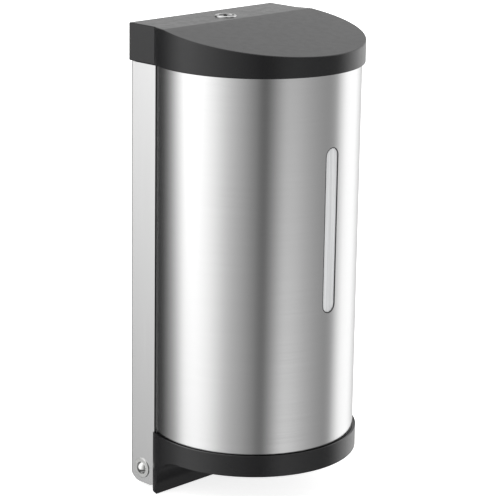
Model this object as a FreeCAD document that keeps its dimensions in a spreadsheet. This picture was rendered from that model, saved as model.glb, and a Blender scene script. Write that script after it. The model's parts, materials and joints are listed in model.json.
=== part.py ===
import FreeCAD, Part
import math
import os
from types import SimpleNamespace

import Sketcher

# Wall mounted touch-free soap dispenser: a half-round cover that tips forward on two pins of a steel
# wall plate. The origin is on the wall, at the middle of the wall plate's screw pattern. +Z is up, the
# front faces -Y, and all sizes are in millimetres.

DRIVING_SIZES = {
    # the cover's outer shape
    "half_height": 140.0,
    "plan_radius": 63.0,
    "plan_centre": 46.0,
    "cap_rear": 21.5,
    "cap_bottom": 118.0,
    "cap_wall": 2.5,
    "crease": 31.8,
    "front_drop": 10.8,
    "inner_radius": 58.4,
    "lip_radius": 60.0,
    "lip_height": 7.0,
    "lip_rear": 29.0,
    "cover_radius": 61.1,
    "cover_sheet": 1.0,
    "cover_rear": 21.9,
    "band_top": -102.6,
    "band_bottom": -115.4,
    "floor_sheet": 2.0,
    "fin_rear": 21.3,
    "fin_inner": 23.25,
    "fin_front": 26.6,
    "fin_blend": 20.0,
    # the wall plate
    "plate_half_width": 56.6,
    "plate_depth": 21.0,
    "plate_sheet": 1.5,
    "plate_bend": 2.0,
    "plate_bottom": -137.8,
    "plate_top": 134.0,
    "flange_top": 117.5,
    "tab_half_width": 54.0,
    "rear_corner": 8.5,
    "front_corner": 4.0,
    "screw_across": 35.0,
    "screw_along": 90.0,
    "screw_hole": 2.75,
    # the hinge
    "pin_depth": 10.35,
    "pin_level": -128.6,
    "pin_radius": 2.0,
    "pin_head": 3.75,
    "pin_head_height": 1.9,
    "washer_radius": 6.1,
    "washer_sheet": 0.6,
    "ear_inner": 51.8,
    "ear_width": 3.0,
    "ear_radius": 8.0,
    "bush_radius": 3.0,
    "bush_flange": 4.8,
    "bush_flange_sheet": 0.9,
    "running_gap": 0.05,
    # the sight window
    "window_half_width": 5.2,
    "window_low": -21.6,
    "window_high": 76.0,
    "gasket_width": 0.5,
    "lens_recess": 0.5,
    "window_seat": 3.0,
    # the lock
    "lock_depth": 20.0,
    "lock_bezel": 6.5,
    "lock_sleeve": 5.5,
    "lock_plug_radius": 3.95,
    "bezel_height": 0.8,
    "plug_rise": 0.2,
    "key_half_length": 3.1,
    "key_half_width": 1.1,
    "cam_bottom": 120.2,
    "cam_sheet": 1.5,
    # the strike that the lock's cam turns behind
    "strike_left": 2.0,
    "strike_right": 18.0,
    "strike_bottom": 119.5,
    "strike_top": 133.0,
    "strike_sheet": 1.5,
    "hook_left": 6.0,
    "hook_right": 14.0,
    "hook_front": 13.5,
    "hook_bottom": 118.8,
    "hook_top": 128.5,
    # the tray and the tank
    "tray_half_width": 49.5,
    "tray_screw_across": 42.0,
    "tray_screw_upper": 60.0,
    "tray_screw_lower": -40.0,
    "tray_screw_radius": 1.6,
    "tray_bottom": -111.5,
    "tray_top": 100.0,
    "tray_sheet": 2.0,
    "shelf_level": -58.0,
    "tank_half_width": 49.5,
    "tank_rear": 6.0,
    "tank_radius": 54.0,
    "tank_top": 88.0,
    "tank_wall": 2.0,
    "filler_depth": 52.0,
    "filler_radius": 17.0,
    "outlet_depth": 70.0,
    # the pump and its drive
    "pump_across": 20.0,
    "pump_level": -86.0,
    "pump_rear": 61.8,
    "pump_front": 76.2,
    "pump_inner": 19.6,
    "pump_outer": 22.0,
    "tube_radius": 2.5,
    "tube_orbit": 16.8,
    "roller_orbit": 9.5,
    "roller_radius": 4.5,
    "axle_radius": 2.0,
    "gear_module": 0.6,
    "gear_plate_depth": 52.0,
    "gear_axle_radius": 1.0,
    "motor_radius": 10.0,
    "motor_length": 24.0,
    "motor_shaft_radius": 1.0,
    # the battery box and the control board
    "box_left": -49.0,
    "box_right": -16.0,
    "box_rear": 5.0,
    "box_front": 60.0,
    "box_bottom": -109.4,
    "box_top": -76.6,
    "box_wall": 1.8,
    "box_door_gap": 0.3,
    "cell_radius": 7.1,
    "cell_length": 49.2,
    "nub_radius": 2.75,
    "nub_length": 1.3,
    "contact_half_width": 4.0,
    "contact_sheet": 0.6,
    "switch_left": -40.0,
    "switch_right": -26.0,
    "switch_rear": 48.0,
    "switch_front": 56.0,
    "board_half_width": 20.0,
    "board_rear": 80.0,
    "board_front": 95.0,
    "board_level": -104.0,
    "board_sheet": 1.6,
    "sensor_depth": 88.0,
    "sensor_half_width": 11.0,
    "sensor_half_depth": 5.0,
    "eye_across": 5.5,
    "eye_radius": 2.5,
    # the outlet
    "nozzle_radius": 4.5,
    "nozzle_hole": 7.0,
    "nozzle_tip": -118.0,
}

WHEEL_TEETH = 36
PINION_TEETH = 12
PRESSURE_ANGLE = math.radians(25)
TOOTH_SHARE = 0.42
KEY_TURN = math.radians(50)

Vector = FreeCAD.Vector
DIRECTIONS = {
    "+X": FreeCAD.Rotation(Vector(0, 1, 0), 90),
    "-X": FreeCAD.Rotation(Vector(0, 1, 0), -90),
    "+Y": FreeCAD.Rotation(Vector(1, 0, 0), -90),
    "-Y": FreeCAD.Rotation(Vector(1, 0, 0), 90),
    "+Z": FreeCAD.Rotation(),
    "-Z": FreeCAD.Rotation(Vector(1, 0, 0), 180),
}

doc = FreeCAD.newDocument("SoapDispenser")
sheet = doc.addObject("Spreadsheet::Sheet", "Sizes")
nodes = []


class Size:
    """A length in millimetres together with the expression over the sheet that gives it."""

    def __init__(self, value, text):
        self.value = float(value)
        self.text = text

    def __add__(self, other):
        return Size(self.value + number(other), f"({self.text} + {text(other)})")

    def __radd__(self, other):
        return Size(number(other) + self.value, f"({text(other)} + {self.text})")

    def __sub__(self, other):
        return Size(self.value - number(other), f"({self.text} - {text(other)})")

    def __rsub__(self, other):
        return Size(number(other) - self.value, f"({text(other)} - {self.text})")

    def __mul__(self, other):
        return Size(self.value * number(other), f"({self.text} * {text(other)})")

    __rmul__ = __mul__

    def __truediv__(self, other):
        return Size(self.value / number(other), f"({self.text} / {text(other)})")

    def __neg__(self):
        return Size(-self.value, f"(0 - {self.text})")


def number(size):
    return size.value if isinstance(size, Size) else float(size)


def text(size):
    return size.text if isinstance(size, Size) else f"({float(size)!r})"


def half_chord(radius, offset):
    """Half the width of a circle, measured at a distance from its centre."""
    value = math.sqrt(number(radius) ** 2 - number(offset) ** 2)
    return Size(value, f"sqrt({text(radius)} ^ 2 - {text(offset)} ^ 2)")


def fill_sheet():
    for row, (name, value) in enumerate(DRIVING_SIZES.items(), 1):
        sheet.set(f"A{row}", str(value))
        sheet.setAlias(f"A{row}", name)
    doc.recompute()
    return SimpleNamespace(**{name: Size(value, f"Sizes.{name}") for name, value in DRIVING_SIZES.items()})


D = fill_sheet()


def bind(item, path, size):
    item.setExpression(path, text(size))


def keep(item, label):
    """Makes an object a sub-part with a file of its own."""
    item.Label = label
    nodes.append(item)
    return item


# Solids from primitives


def place(item, start, rotation=DIRECTIONS["+Z"]):
    item.Placement = FreeCAD.Placement(Vector(), rotation)
    for axis, size in zip("xyz", start):
        bind(item, f"Placement.Base.{axis}", size)
    return item


def box(name, low, high):
    item = doc.addObject("Part::Box", name)
    for path, start, end in zip(("Length", "Width", "Height"), low, high):
        bind(item, path, end - start)
    return place(item, low)


def rod(name, radius, start, length, direction="+Z"):
    item = doc.addObject("Part::Cylinder", name)
    bind(item, "Radius", radius)
    bind(item, "Height", length)
    return place(item, start, DIRECTIONS[direction])


def cone(name, start_radius, end_radius, start, length, direction="+Z"):
    item = doc.addObject("Part::Cone", name)
    bind(item, "Radius1", start_radius)
    bind(item, "Radius2", end_radius)
    bind(item, "Height", length)
    return place(item, start, DIRECTIONS[direction])


def ball(name, radius, centre):
    item = doc.addObject("Part::Sphere", name)
    bind(item, "Radius", radius)
    return place(item, centre)


def fuse(name, *items):
    item = doc.addObject("Part::MultiFuse", name)
    item.Shapes = list(items)
    return item


def cut(name, base, *tools):
    item = doc.addObject("Part::Cut", name)
    item.Base = base
    item.Tool = tools[0] if len(tools) == 1 else fuse(f"{name}_tools", *tools)
    return item


def common(name, first, second):
    item = doc.addObject("Part::Common", name)
    item.Base = first
    item.Tool = second
    return item


def group(name, items):
    item = doc.addObject("Part::Compound", name)
    item.Links = list(items)
    return item


def tube(name, outer, inner, start, length, direction="+Z"):
    return cut(
        name,
        rod(f"{name}_outside", outer, start, length, direction),
        rod(f"{name}_inside", inner, start, length, direction),
    )


def step(start, direction, distance):
    """The point a distance from another along one of the six directions."""
    move = DIRECTIONS[direction].multVec(Vector(0, 0, 1))
    return tuple(here + round(along) * distance for here, along in zip(start, move))


def screw(name, shank, head, start, length, direction, head_height=1.6):
    """A pan head screw whose head rests at start and whose shank points along direction."""
    top = step(start, direction, -head_height)
    slot_low, slot_high = [], []
    along = "XYZ".index(direction[1])
    across = (along + 1) % 3
    sign = 1 if direction[0] == "+" else -1
    for axis, here in enumerate(top):
        reach = head if axis == across else 0.4
        if axis == along:
            ends = sorted((here - sign * 0.5, here + sign * 0.8), key=number)
        else:
            ends = (here - reach, here + reach)
        slot_low.append(ends[0])
        slot_high.append(ends[1])
    whole = fuse(
        f"{name}_blank",
        rod(f"{name}_head", head, top, head_height, direction),
        rod(f"{name}_shank", shank, start, length, direction),
    )
    return cut(name, whole, box(f"{name}_slot", slot_low, slot_high))


# Solids from sketches


def body(name):
    return doc.addObject("PartDesign::Body", name)


def sketch(owner, role, level=0):
    """A sketch on one of the body's own origin planes, moved along the plane's normal."""
    item = owner.newObject("Sketcher::SketchObject", f"{owner.Name}_sketch")
    plane = next(feature for feature in owner.Origin.OriginFeatures if feature.Role == role)
    item.AttachmentSupport = [(plane, "")]
    item.MapMode = "FlatFace"
    bind(item, "AttachmentOffset.Base.z", level)
    return item


def arc_middle(start, end, radius, side, large):
    """The middle of an arc that bulges to the left (side 1) or right (side -1) of the way to its end."""
    chord = end - start
    reach = math.sqrt(max(radius**2 - chord.Length**2 / 4, 0))
    normal = Vector(-chord.y, chord.x, 0).normalize()
    rise = radius + reach if large else radius - reach
    return (start + end) * 0.5 + normal * side * rise


def pin_point(item, geometry, end, x, y):
    for kind, size in (("DistanceX", x), ("DistanceY", y)):
        index = item.addConstraint(Sketcher.Constraint(kind, -1, 1, geometry, end, number(size)))
        bind(item, f"Constraints[{index}]", size)


def size_arc(item, geometry, corner, chord):
    """Gives an arc its radius, or its centre's level where it is a half circle on a level chord."""
    if math.isclose(chord.Length, 2 * number(corner[2]), rel_tol=1e-6):
        constraint = Sketcher.Constraint("DistanceY", -1, 1, geometry, 3, number(corner[1]))
        bind(item, f"Constraints[{item.addConstraint(constraint)}]", corner[1])
    else:
        constraint = Sketcher.Constraint("Radius", geometry, number(corner[2]))
        bind(item, f"Constraints[{item.addConstraint(constraint)}]", corner[2])


def outline(item, corners):
    """A closed outline. A corner is (x, y), or (x, y, radius, side, large) where an arc starts."""
    points = [Vector(number(corner[0]), number(corner[1]), 0) for corner in corners]
    starts = []
    first = item.GeometryCount
    for index, corner in enumerate(corners):
        start, end = points[index], points[(index + 1) % len(points)]
        if len(corner) == 2:
            edge = Part.LineSegment(start, end)
        else:
            middle = arc_middle(start, end, number(corner[2]), corner[3], corner[4])
            edge = Part.Arc(start, middle, end)
        edge_index = item.addGeometry(edge, False)
        near = item.getPoint(edge_index, 1)
        starts.append(1 if (near - start).Length < (near - end).Length else 2)
    for index, corner in enumerate(corners):
        after = (index + 1) % len(corners)
        joined = (first + index, 3 - starts[index], first + after, starts[after])
        item.addConstraint(Sketcher.Constraint("Coincident", *joined))
        pin_point(item, first + index, starts[index], corner[0], corner[1])
        if len(corner) > 2:
            size_arc(item, first + index, corner, points[after] - points[index])


def circles(item, rows):
    for x, y, radius in rows:
        centre = Vector(number(x), number(y), 0)
        index = item.addGeometry(Part.Circle(centre, Vector(0, 0, 1), number(radius)), False)
        pin_point(item, index, 3, x, y)
        constraint = item.addConstraint(Sketcher.Constraint("Radius", index, number(radius)))
        bind(item, f"Constraints[{constraint}]", radius)


def rectangle(low_x, low_y, high_x, high_y):
    return [(low_x, low_y), (high_x, low_y), (high_x, high_y), (low_x, high_y)]


def slot_outline(half_width, low, high):
    """An upright slot with full-round ends, centred on the sketch's own upright axis."""
    return [
        (half_width, low + half_width),
        (half_width, high - half_width, half_width, -1, False),
        (-half_width, high - half_width),
        (-half_width, low + half_width, half_width, -1, False),
    ]


def pad(owner, profile, length, symmetric=False, reverse=False):
    feature = owner.newObject("PartDesign::Pad", f"{owner.Name}_pad")
    feature.Profile = profile
    bind(feature, "Length", length)
    feature.SideType = "Symmetric" if symmetric else "One side"
    feature.Reversed = reverse
    doc.recompute()
    return feature


def pocket(owner, profile, length=400, symmetric=True, reverse=False):
    """A pocket that has to take material away, so its volume is compared."""
    before = owner.Shape.Volume
    feature = owner.newObject("PartDesign::Pocket", f"{owner.Name}_pocket")
    feature.Profile = profile
    bind(feature, "Length", length)
    feature.SideType = "Symmetric" if symmetric else "One side"
    feature.Reversed = reverse
    doc.recompute()
    if not owner.Shape.Volume < before - 1e-3:
        raise ValueError(f"{feature.Name} takes nothing away")
    return feature


def pad_outline(owner, role, level, corners, length):
    profile = sketch(owner, role, level)
    outline(profile, corners)
    return pad(owner, profile, length)


def pocket_outline(owner, role, corners):
    """A pocket of one outline, right through the body both ways."""
    profile = sketch(owner, role)
    outline(profile, corners)
    return pocket(owner, profile)


# The front cover


def plan_outline(radius, rear, rectangle_rear=None):
    """The cover's plan: an arc about the plan centre, closed by a straight rear edge or a rectangle."""
    half_width = half_chord(radius, D.plan_centre - rear)
    corners = [(half_width, -rear, radius, 1, True), (-half_width, -rear)]
    if rectangle_rear is not None:
        corners += [(-half_width, -rectangle_rear), (half_width, -rectangle_rear)]
    return corners


def slope_outline(lowered):
    """Everything above the sloping top, whose crease runs across the cap."""
    depth = D.plan_centre + D.plan_radius
    beyond = 6
    top = D.half_height - lowered
    foot = top - D.front_drop * (depth + beyond - D.crease) / (depth - D.crease)
    return [(-D.crease, top), (-D.crease, top + 20), (-(depth + beyond), top + 20), (-(depth + beyond), foot)]


def lip_ring(name, low, high):
    """The lip that locates the steel cover, left out behind lip_rear where the side rails stand."""
    owner = body(name)
    profile = sketch(owner, "XY_Plane", low)
    outer = half_chord(D.lip_radius, D.plan_centre - D.lip_rear)
    inner = half_chord(D.inner_radius, D.plan_centre - D.lip_rear)
    outline(
        profile,
        [
            (outer, -D.lip_rear, D.lip_radius, 1, True),
            (-outer, -D.lip_rear),
            (-inner, -D.lip_rear, D.inner_radius, -1, True),
            (inner, -D.lip_rear),
        ],
    )
    pad(owner, profile, high - low)
    return owner


def make_cap():
    outer = body("cap_outer")
    plan = plan_outline(D.plan_radius, D.cap_rear, 0)
    pad_outline(outer, "XY_Plane", D.cap_bottom, plan, D.half_height - D.cap_bottom)
    pocket_outline(outer, "YZ_Plane", slope_outline(0))
    inner = body("cap_inner")
    half_width = D.tab_half_width + 0.8
    rear = D.plan_centre - half_chord(D.inner_radius, half_width)
    pad_outline(
        inner,
        "XY_Plane",
        D.cap_bottom - 1,
        [
            (half_width, -rear, D.inner_radius, 1, True),
            (-half_width, -rear),
            (-half_width, 1),
            (half_width, 1),
        ],
        D.half_height - D.cap_wall - D.cap_bottom + 1,
    )
    pocket_outline(inner, "YZ_Plane", slope_outline(D.cap_wall))
    shell = cut(
        "cap_shell",
        outer,
        inner,
        rod("cap_lock_hole", D.lock_sleeve, (0, -D.lock_depth, D.cap_bottom), D.half_height - D.cap_bottom),
    )
    lip = lip_ring("cap_lip", D.cap_bottom - D.lip_height, D.cap_bottom + 1)
    keep(fuse("cap", shell, lip), "cap")


def make_steel_cover():
    owner = body("steel_cover")
    inner = D.cover_radius - D.cover_sheet
    outer_half = half_chord(D.cover_radius, D.plan_centre - D.cover_rear)
    inner_half = half_chord(inner, D.plan_centre - D.cover_rear)
    pad_outline(
        owner,
        "XY_Plane",
        D.band_top,
        [
            (outer_half, -D.cover_rear, D.cover_radius, 1, True),
            (-outer_half, -D.cover_rear),
            (-inner_half, -D.cover_rear, inner, -1, True),
            (inner_half, -D.cover_rear),
        ],
        D.cap_bottom - D.band_top,
    )
    profile = sketch(owner, "XZ_Plane", D.plan_centre)
    outline(profile, slot_outline(D.window_half_width, D.window_low, D.window_high))
    pocket(owner, profile, 80, symmetric=False, reverse=True)
    keep(owner, "steel_cover")


def shell_slice(name, half_width, low, high, outer, inner):
    """An upright rounded slot cut out of a curved wall between two radii."""
    owner = body(name)
    profile = sketch(owner, "XZ_Plane", D.plan_centre + 40)
    outline(profile, slot_outline(half_width, low, high))
    pad(owner, profile, 40)
    ring = tube(f"{name}_wall", outer, inner, (0, -D.plan_centre, low - 5), high - low + 10)
    return common(f"{name}_slice", owner, ring)


def make_sight_window():
    """A lens sunk a little into the sheet, inside a gasket that fills the cut and seats behind it."""
    opening = (D.window_half_width, D.window_low, D.window_high)
    bare = (D.window_half_width - D.gasket_width, D.window_low + D.gasket_width, D.window_high - D.gasket_width)
    seat = (D.window_half_width + D.window_seat, D.window_low - D.window_seat, D.window_high + D.window_seat)
    sheet_inside = D.cover_radius - D.cover_sheet
    flange_front, flange_back = D.lip_radius - 0.6, D.lip_radius - 2.4
    front = shell_slice("lens_front", *bare, D.cover_radius - D.lens_recess, flange_front)
    back = shell_slice("lens_back", *seat, flange_front, flange_back)
    keep(fuse("sight_window", front, back), "sight_window")
    lip = shell_slice("gasket_lip", *opening, D.cover_radius, sheet_inside)
    behind = shell_slice("gasket_seat", *seat, sheet_inside, flange_front)
    hole = shell_slice("gasket_hole", *bare, D.cover_radius + 1, flange_back)
    keep(cut("window_gasket", fuse("gasket_blank", lip, behind), hole), "window_gasket")


def make_side_rail(label, side):
    """A black rail inside each rear edge of the steel cover, showing as a thin line beside the flange."""
    owner = body(label)
    inner = D.cover_radius - D.cover_sheet
    edge = half_chord(inner, D.plan_centre - D.cover_rear)
    far = half_chord(inner, D.plan_centre - D.lip_rear + 1)
    lip = half_chord(D.cover_radius, D.plan_centre - D.cover_rear)
    corners = [
        (side * (D.ear_inner + 0.6), -D.fin_rear),
        (side * lip, -D.fin_rear),
        (side * lip, -D.cover_rear),
        (side * edge, -D.cover_rear, inner, side, False),
        (side * far, -(D.lip_rear - 1)),
        (side * (D.ear_inner + 2.4), -(D.lip_rear - 1)),
        (side * (D.ear_inner + 0.6), -(D.lip_rear - 3)),
    ]
    pad_outline(owner, "XY_Plane", D.band_top, corners, D.cap_bottom - D.band_top)
    keep(owner, label)


def ear_outline():
    """A disc about the pin, run forward into the fin."""
    low, high = D.pin_level - D.ear_radius, D.pin_level + D.ear_radius
    front = -(D.fin_inner + 1)
    return [
        (-D.pin_depth, low, D.ear_radius, -1, False),
        (-D.pin_depth + D.ear_radius, D.pin_level, D.ear_radius, -1, False),
        (-D.pin_depth, high),
        (front, high),
        (front, low),
    ]


def sensor_opening(grow):
    """The rectangle under the infra-red eyes."""
    half_width, half_depth = D.sensor_half_width + grow, D.sensor_half_depth + grow
    return rectangle(-half_width, -D.sensor_depth - half_depth, half_width, -D.sensor_depth + half_depth)


def make_base():
    owner = body("base_body")
    pad_outline(
        owner, "XY_Plane", -D.half_height, plan_outline(D.plan_radius, D.fin_rear), D.band_top + D.half_height
    )
    far = -(D.plan_centre + D.plan_radius + 5)
    pocket_outline(
        owner,
        "YZ_Plane",
        [
            (-D.fin_front, -D.half_height - 5),
            (-D.fin_front, D.band_bottom - D.fin_blend, D.fin_blend, -1, False),
            (-D.fin_front - D.fin_blend, D.band_bottom),
            (far, D.band_bottom),
            (far, -D.half_height - 5),
        ],
    )
    inside = sketch(owner, "XY_Plane", D.band_bottom + D.floor_sheet)
    circles(inside, [(0, -D.plan_centre, D.inner_radius)])
    pocket(owner, inside, 60, symmetric=False, reverse=True)
    relief = sketch(owner, "XY_Plane", D.band_bottom)
    outline(relief, rectangle(-D.plate_half_width - 0.4, -D.fin_inner, D.plate_half_width + 0.4, 0))
    pocket(owner, relief, 60, symmetric=False)
    floor_holes = sketch(owner, "XY_Plane", D.band_bottom + D.floor_sheet + 1)
    circles(floor_holes, [(0, -D.outlet_depth, D.nozzle_hole)])
    outline(floor_holes, sensor_opening(0))
    pocket(owner, floor_holes, 10, symmetric=False)
    for level in (D.ear_inner, -D.ear_inner - D.ear_width):
        pad_outline(owner, "YZ_Plane", level, ear_outline(), D.ear_width)
    pin_hole = sketch(owner, "YZ_Plane")
    circles(pin_hole, [(-D.pin_depth, D.pin_level, D.bush_radius)])
    pocket(owner, pin_hole)
    lip = lip_ring("base_lip", D.band_top - 1, D.band_top + D.lip_height)
    keep(fuse("base", owner, lip), "base")


def make_sensor_window():
    """A dark window set in the base's floor, with a rim that rests on it."""
    window = body("sensor_window")
    low, floor_top = D.band_bottom + 0.3, D.band_bottom + D.floor_sheet
    pad_outline(window, "XY_Plane", floor_top, sensor_opening(2), 0.8)
    pad_outline(window, "XY_Plane", low, sensor_opening(0), floor_top - low + 0.4)
    keep(window, "sensor_window")


def make_hinge_bushes():
    bushes = []
    bore = D.pin_radius + D.running_gap
    for side, direction, name in ((1, "+X", "bush_right"), (-1, "-X", "bush_left")):
        start = (side * D.ear_inner, -D.pin_depth, D.pin_level)
        inner_end = step(start, direction, -D.bush_flange_sheet)
        sleeve = rod(f"{name}_sleeve", D.bush_radius, start, D.ear_width, direction)
        flange = rod(f"{name}_flange", D.bush_flange, inner_end, D.bush_flange_sheet, direction)
        hole = rod(f"{name}_bore", bore, step(start, direction, -2), D.ear_width + 4, direction)
        bushes.append(cut(name, fuse(f"{name}_blank", sleeve, flange), hole))
    keep(group("hinge_bushes", bushes), "hinge_bushes")


def make_lock():
    centre = (0, -D.lock_depth)
    sleeve_low = D.cam_bottom + D.cam_sheet + 2.5
    bezel = cone("lock_bezel", D.lock_bezel, D.lock_bezel - 0.6, (*centre, D.half_height), D.bezel_height)
    sleeve = rod("lock_sleeve", D.lock_sleeve, (*centre, sleeve_low), D.half_height - sleeve_low)
    bore = rod(
        "lock_bore",
        D.lock_plug_radius + D.running_gap,
        (*centre, sleeve_low - 1),
        D.half_height - sleeve_low + 3,
    )
    keep(cut("lock_housing", fuse("lock_blank", bezel, sleeve), bore), "lock_housing")
    make_lock_nut()


def about_lock(points):
    """Points around the lock's axis, in the frame."""
    return [(x, -D.lock_depth + y) for x, y in points]


def make_lock_nut():
    nut = body("lock_nut")
    thickness, reach = 3, 9.0
    profile = sketch(nut, "XY_Plane", D.half_height - D.cap_wall - thickness)
    turns = [math.radians(60 * turn + 30) for turn in range(6)]
    outline(profile, about_lock([(reach * math.cos(turn), reach * math.sin(turn)) for turn in turns]))
    circles(profile, [(0, -D.lock_depth, D.lock_sleeve)])
    pad(nut, profile, thickness)
    keep(nut, "lock_nut")


def key_outline():
    """The key slot, as it lies while the cover is free to open."""
    corners = []
    for along, across in ((1, 1), (-1, 1), (-1, -1), (1, -1)):
        x, y = along * D.key_half_length, across * D.key_half_width
        turned_x = x * math.cos(KEY_TURN) - y * math.sin(KEY_TURN)
        turned_y = x * math.sin(KEY_TURN) + y * math.cos(KEY_TURN)
        corners.append((turned_x, turned_y))
    return about_lock(corners)


def make_lock_rotor():
    """The plug, which turns in the housing with the cam screwed to its foot."""
    centre = (0, -D.lock_depth)
    top = D.half_height + D.plug_rise
    plug_low = D.cam_bottom + D.cam_sheet
    plug = rod("plug_blank", D.lock_plug_radius, (*centre, plug_low), top - plug_low)
    key_way = body("key_way")
    pad_outline(key_way, "XY_Plane", top - 4, key_outline(), 5)
    keep(cut("lock_plug", plug, key_way), "lock_plug")
    cam = body("cam_body")
    hooked = [(4, -3.5), (4, 3.5), (-9.5, 3.5), (-9.5, 9), (-12.5, 9), (-12.5, -3.5)]
    pad_outline(cam, "XY_Plane", D.cam_bottom, about_lock(hooked), D.cam_sheet)
    shank, head = 1.5, 2.8
    hole = rod("cam_hole", shank, (*centre, D.cam_bottom - 1), D.cam_sheet + 2)
    keep(cut("lock_cam", cam, hole), "lock_cam")
    keep(screw("cam_screw", shank, head, (*centre, D.cam_bottom), D.cam_sheet, "+Z", 1.4), "cam_screw")


# The wall plate and its fixed fittings


def plate_outline():
    """The plate's plan: a shallow channel, bent round at its two rear corners."""
    outer, depth, thick, bend = D.plate_half_width, D.plate_depth, D.plate_sheet, D.plate_bend
    inner = outer - thick
    return [
        (-outer, -depth),
        (-inner, -depth),
        (-inner, -thick),
        (inner, -thick),
        (inner, -depth),
        (outer, -depth),
        (outer, -bend, bend, -1, False),
        (outer - bend, 0),
        (-outer + bend, 0, bend, -1, False),
        (-outer, -bend),
    ]


def flange_corners():
    """What is taken off the flanges' lower corners, seen from the side."""
    low, depth, rear, front = D.plate_bottom, D.plate_depth, D.rear_corner, D.front_corner
    at_wall = [(0, low + rear, rear, 1, False), (-rear, low), (-rear, low - 2), (2, low - 2), (2, low + rear)]
    at_front = [
        (-depth + front, low, front, 1, False),
        (-depth, low + front),
        (-depth - 2, low + front),
        (-depth - 2, low - 2),
        (-depth + front, low - 2),
    ]
    return at_wall, at_front


def make_wall_plate():
    owner = body("wall_plate")
    pad_outline(owner, "XY_Plane", D.plate_bottom, plate_outline(), D.plate_top - D.plate_bottom)
    shoulder, beyond = D.tab_half_width, D.plate_half_width + 5
    for left, right in ((shoulder, beyond), (-beyond, -shoulder)):
        pocket_outline(owner, "XZ_Plane", rectangle(left, D.flange_top, right, D.plate_top + 5))
    for corner in flange_corners():
        pocket_outline(owner, "YZ_Plane", corner)
    holes = sketch(owner, "XZ_Plane")
    circles(holes, [(x, z, D.screw_hole) for x, z in wall_screw_spots()])
    circles(holes, [(x, z, D.tray_screw_radius) for x, z in tray_screw_spots()])
    pocket(owner, holes)
    pins = sketch(owner, "YZ_Plane")
    circles(pins, [(-D.pin_depth, D.pin_level, D.pin_radius)])
    pocket(owner, pins)
    keep(owner, "wall_plate")


def make_strike():
    """A riveted hook on the wall plate, which the lock's cam turns behind."""
    back = -D.plate_sheet
    front = back - D.strike_sheet
    foot = box(
        "strike_foot", (D.strike_left, front, D.strike_bottom), (D.strike_right, back, D.strike_top)
    )
    shelf_low = D.hook_top - D.strike_sheet
    shelf = box("strike_shelf", (D.hook_left, -D.hook_front, shelf_low), (D.hook_right, back - 1, D.hook_top))
    hook_back = -D.hook_front + D.strike_sheet
    hook = box(
        "strike_hook", (D.hook_left, -D.hook_front, D.hook_bottom), (D.hook_right, hook_back, D.hook_top - 0.5)
    )
    keep(fuse("strike_plate", foot, shelf, hook), "strike_plate")
    rivets = []
    radius, level = 2.4, D.strike_top - 2
    for name, x in (("rivet_left", D.strike_left + 3.5), ("rivet_right", D.strike_right - 3.5)):
        dome = ball(f"{name}_ball", radius, (x, front + radius / 2, level))
        rivets.append(common(name, dome, rod(f"{name}_band", radius, (x, front, level), 1.4, "-Y")))
    keep(group("strike_rivets", rivets), "strike_rivets")


def make_hinge_pins():
    """A domed pin in each flange, over a flat washer."""
    washers = []
    head, rise = D.pin_head, D.pin_head_height
    curve = (head * head + rise * rise) / (2 * rise)
    inner_end, outer_end = D.ear_inner - 1.4, D.plate_half_width + D.washer_sheet
    for side, direction, label in ((-1, "-X", "hinge_pin_left"), (1, "+X", "hinge_pin_right")):
        start = (side * inner_end, -D.pin_depth, D.pin_level)
        face = (side * outer_end, -D.pin_depth, D.pin_level)
        shank = rod(f"{label}_shank", D.pin_radius, start, outer_end - inner_end, direction)
        sphere = ball(f"{label}_ball", curve, step(face, direction, rise - curve))
        dome = common(f"{label}_head", sphere, rod(f"{label}_band", head, face, rise, direction))
        keep(fuse(label, shank, dome), label)
        base = (side * D.plate_half_width, -D.pin_depth, D.pin_level)
        washer = tube(f"{label}_washer", D.washer_radius, D.pin_radius, base, D.washer_sheet, direction)
        washers.append(washer)
    keep(group("hinge_washers", washers), "hinge_washers")


def wall_screw_spots():
    return [(x * D.screw_across, z * D.screw_along) for x in (-1, 1) for z in (-1, 1)]


def tray_screw_spots():
    levels = (D.tray_screw_lower, D.tray_screw_upper)
    return [(side * D.tray_screw_across, level) for side in (-1, 1) for level in levels]


def tray_plan(rear):
    half_width = D.tray_half_width
    shoulder = D.plan_centre + half_chord(D.tank_radius, half_width)
    return [
        (half_width, -shoulder, D.tank_radius, 1, False),
        (-half_width, -shoulder),
        (-half_width, -rear),
        (half_width, -rear),
    ]


def make_chassis():
    """The moulded tray: an upright rear plate, a floor and a shelf under the tank."""
    owner = body("chassis")
    half_width, rear = D.tray_half_width, D.plate_sheet
    pad_outline(
        owner,
        "XZ_Plane",
        rear,
        rectangle(-half_width, D.tray_bottom, half_width, D.tray_top),
        D.tray_sheet,
    )
    pad_outline(owner, "XY_Plane", D.tray_bottom, tray_plan(rear), D.tray_sheet)
    pad_outline(
        owner,
        "XY_Plane",
        D.shelf_level - D.tray_sheet,
        rectangle(-half_width, -40, half_width, -rear),
        D.tray_sheet,
    )
    access = sketch(owner, "XZ_Plane")
    circles(access, [(x, z, 6) for x, z in wall_screw_spots()])
    circles(access, [(x, z, D.tray_screw_radius) for x, z in tray_screw_spots()])
    pocket(owner, access, 20)
    openings = sketch(owner, "XY_Plane", D.tray_bottom)
    circles(openings, [(0, -D.outlet_depth, 5)])
    outline(openings, rectangle(-10, -D.sensor_depth - 4, 10, -D.sensor_depth + 4))
    pocket(owner, openings, 10)
    for x in (-1, 1):
        post = sketch(owner, "XY_Plane", D.tray_bottom + 1)
        circles(post, [(x * (D.board_half_width - 4), -D.board_rear - 3, 2.6)])
        pad(owner, post, D.board_level - D.tray_bottom - 1)
    keep(owner, "chassis")
    front = -(rear + D.tray_sheet)
    screws = [
        screw(f"tray_screw_{index}", D.tray_screw_radius, 3.2, (x, front, z), 3, "+Y")
        for index, (x, z) in enumerate(tray_screw_spots())
    ]
    keep(group("chassis_screws", screws), "chassis_screws")


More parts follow.
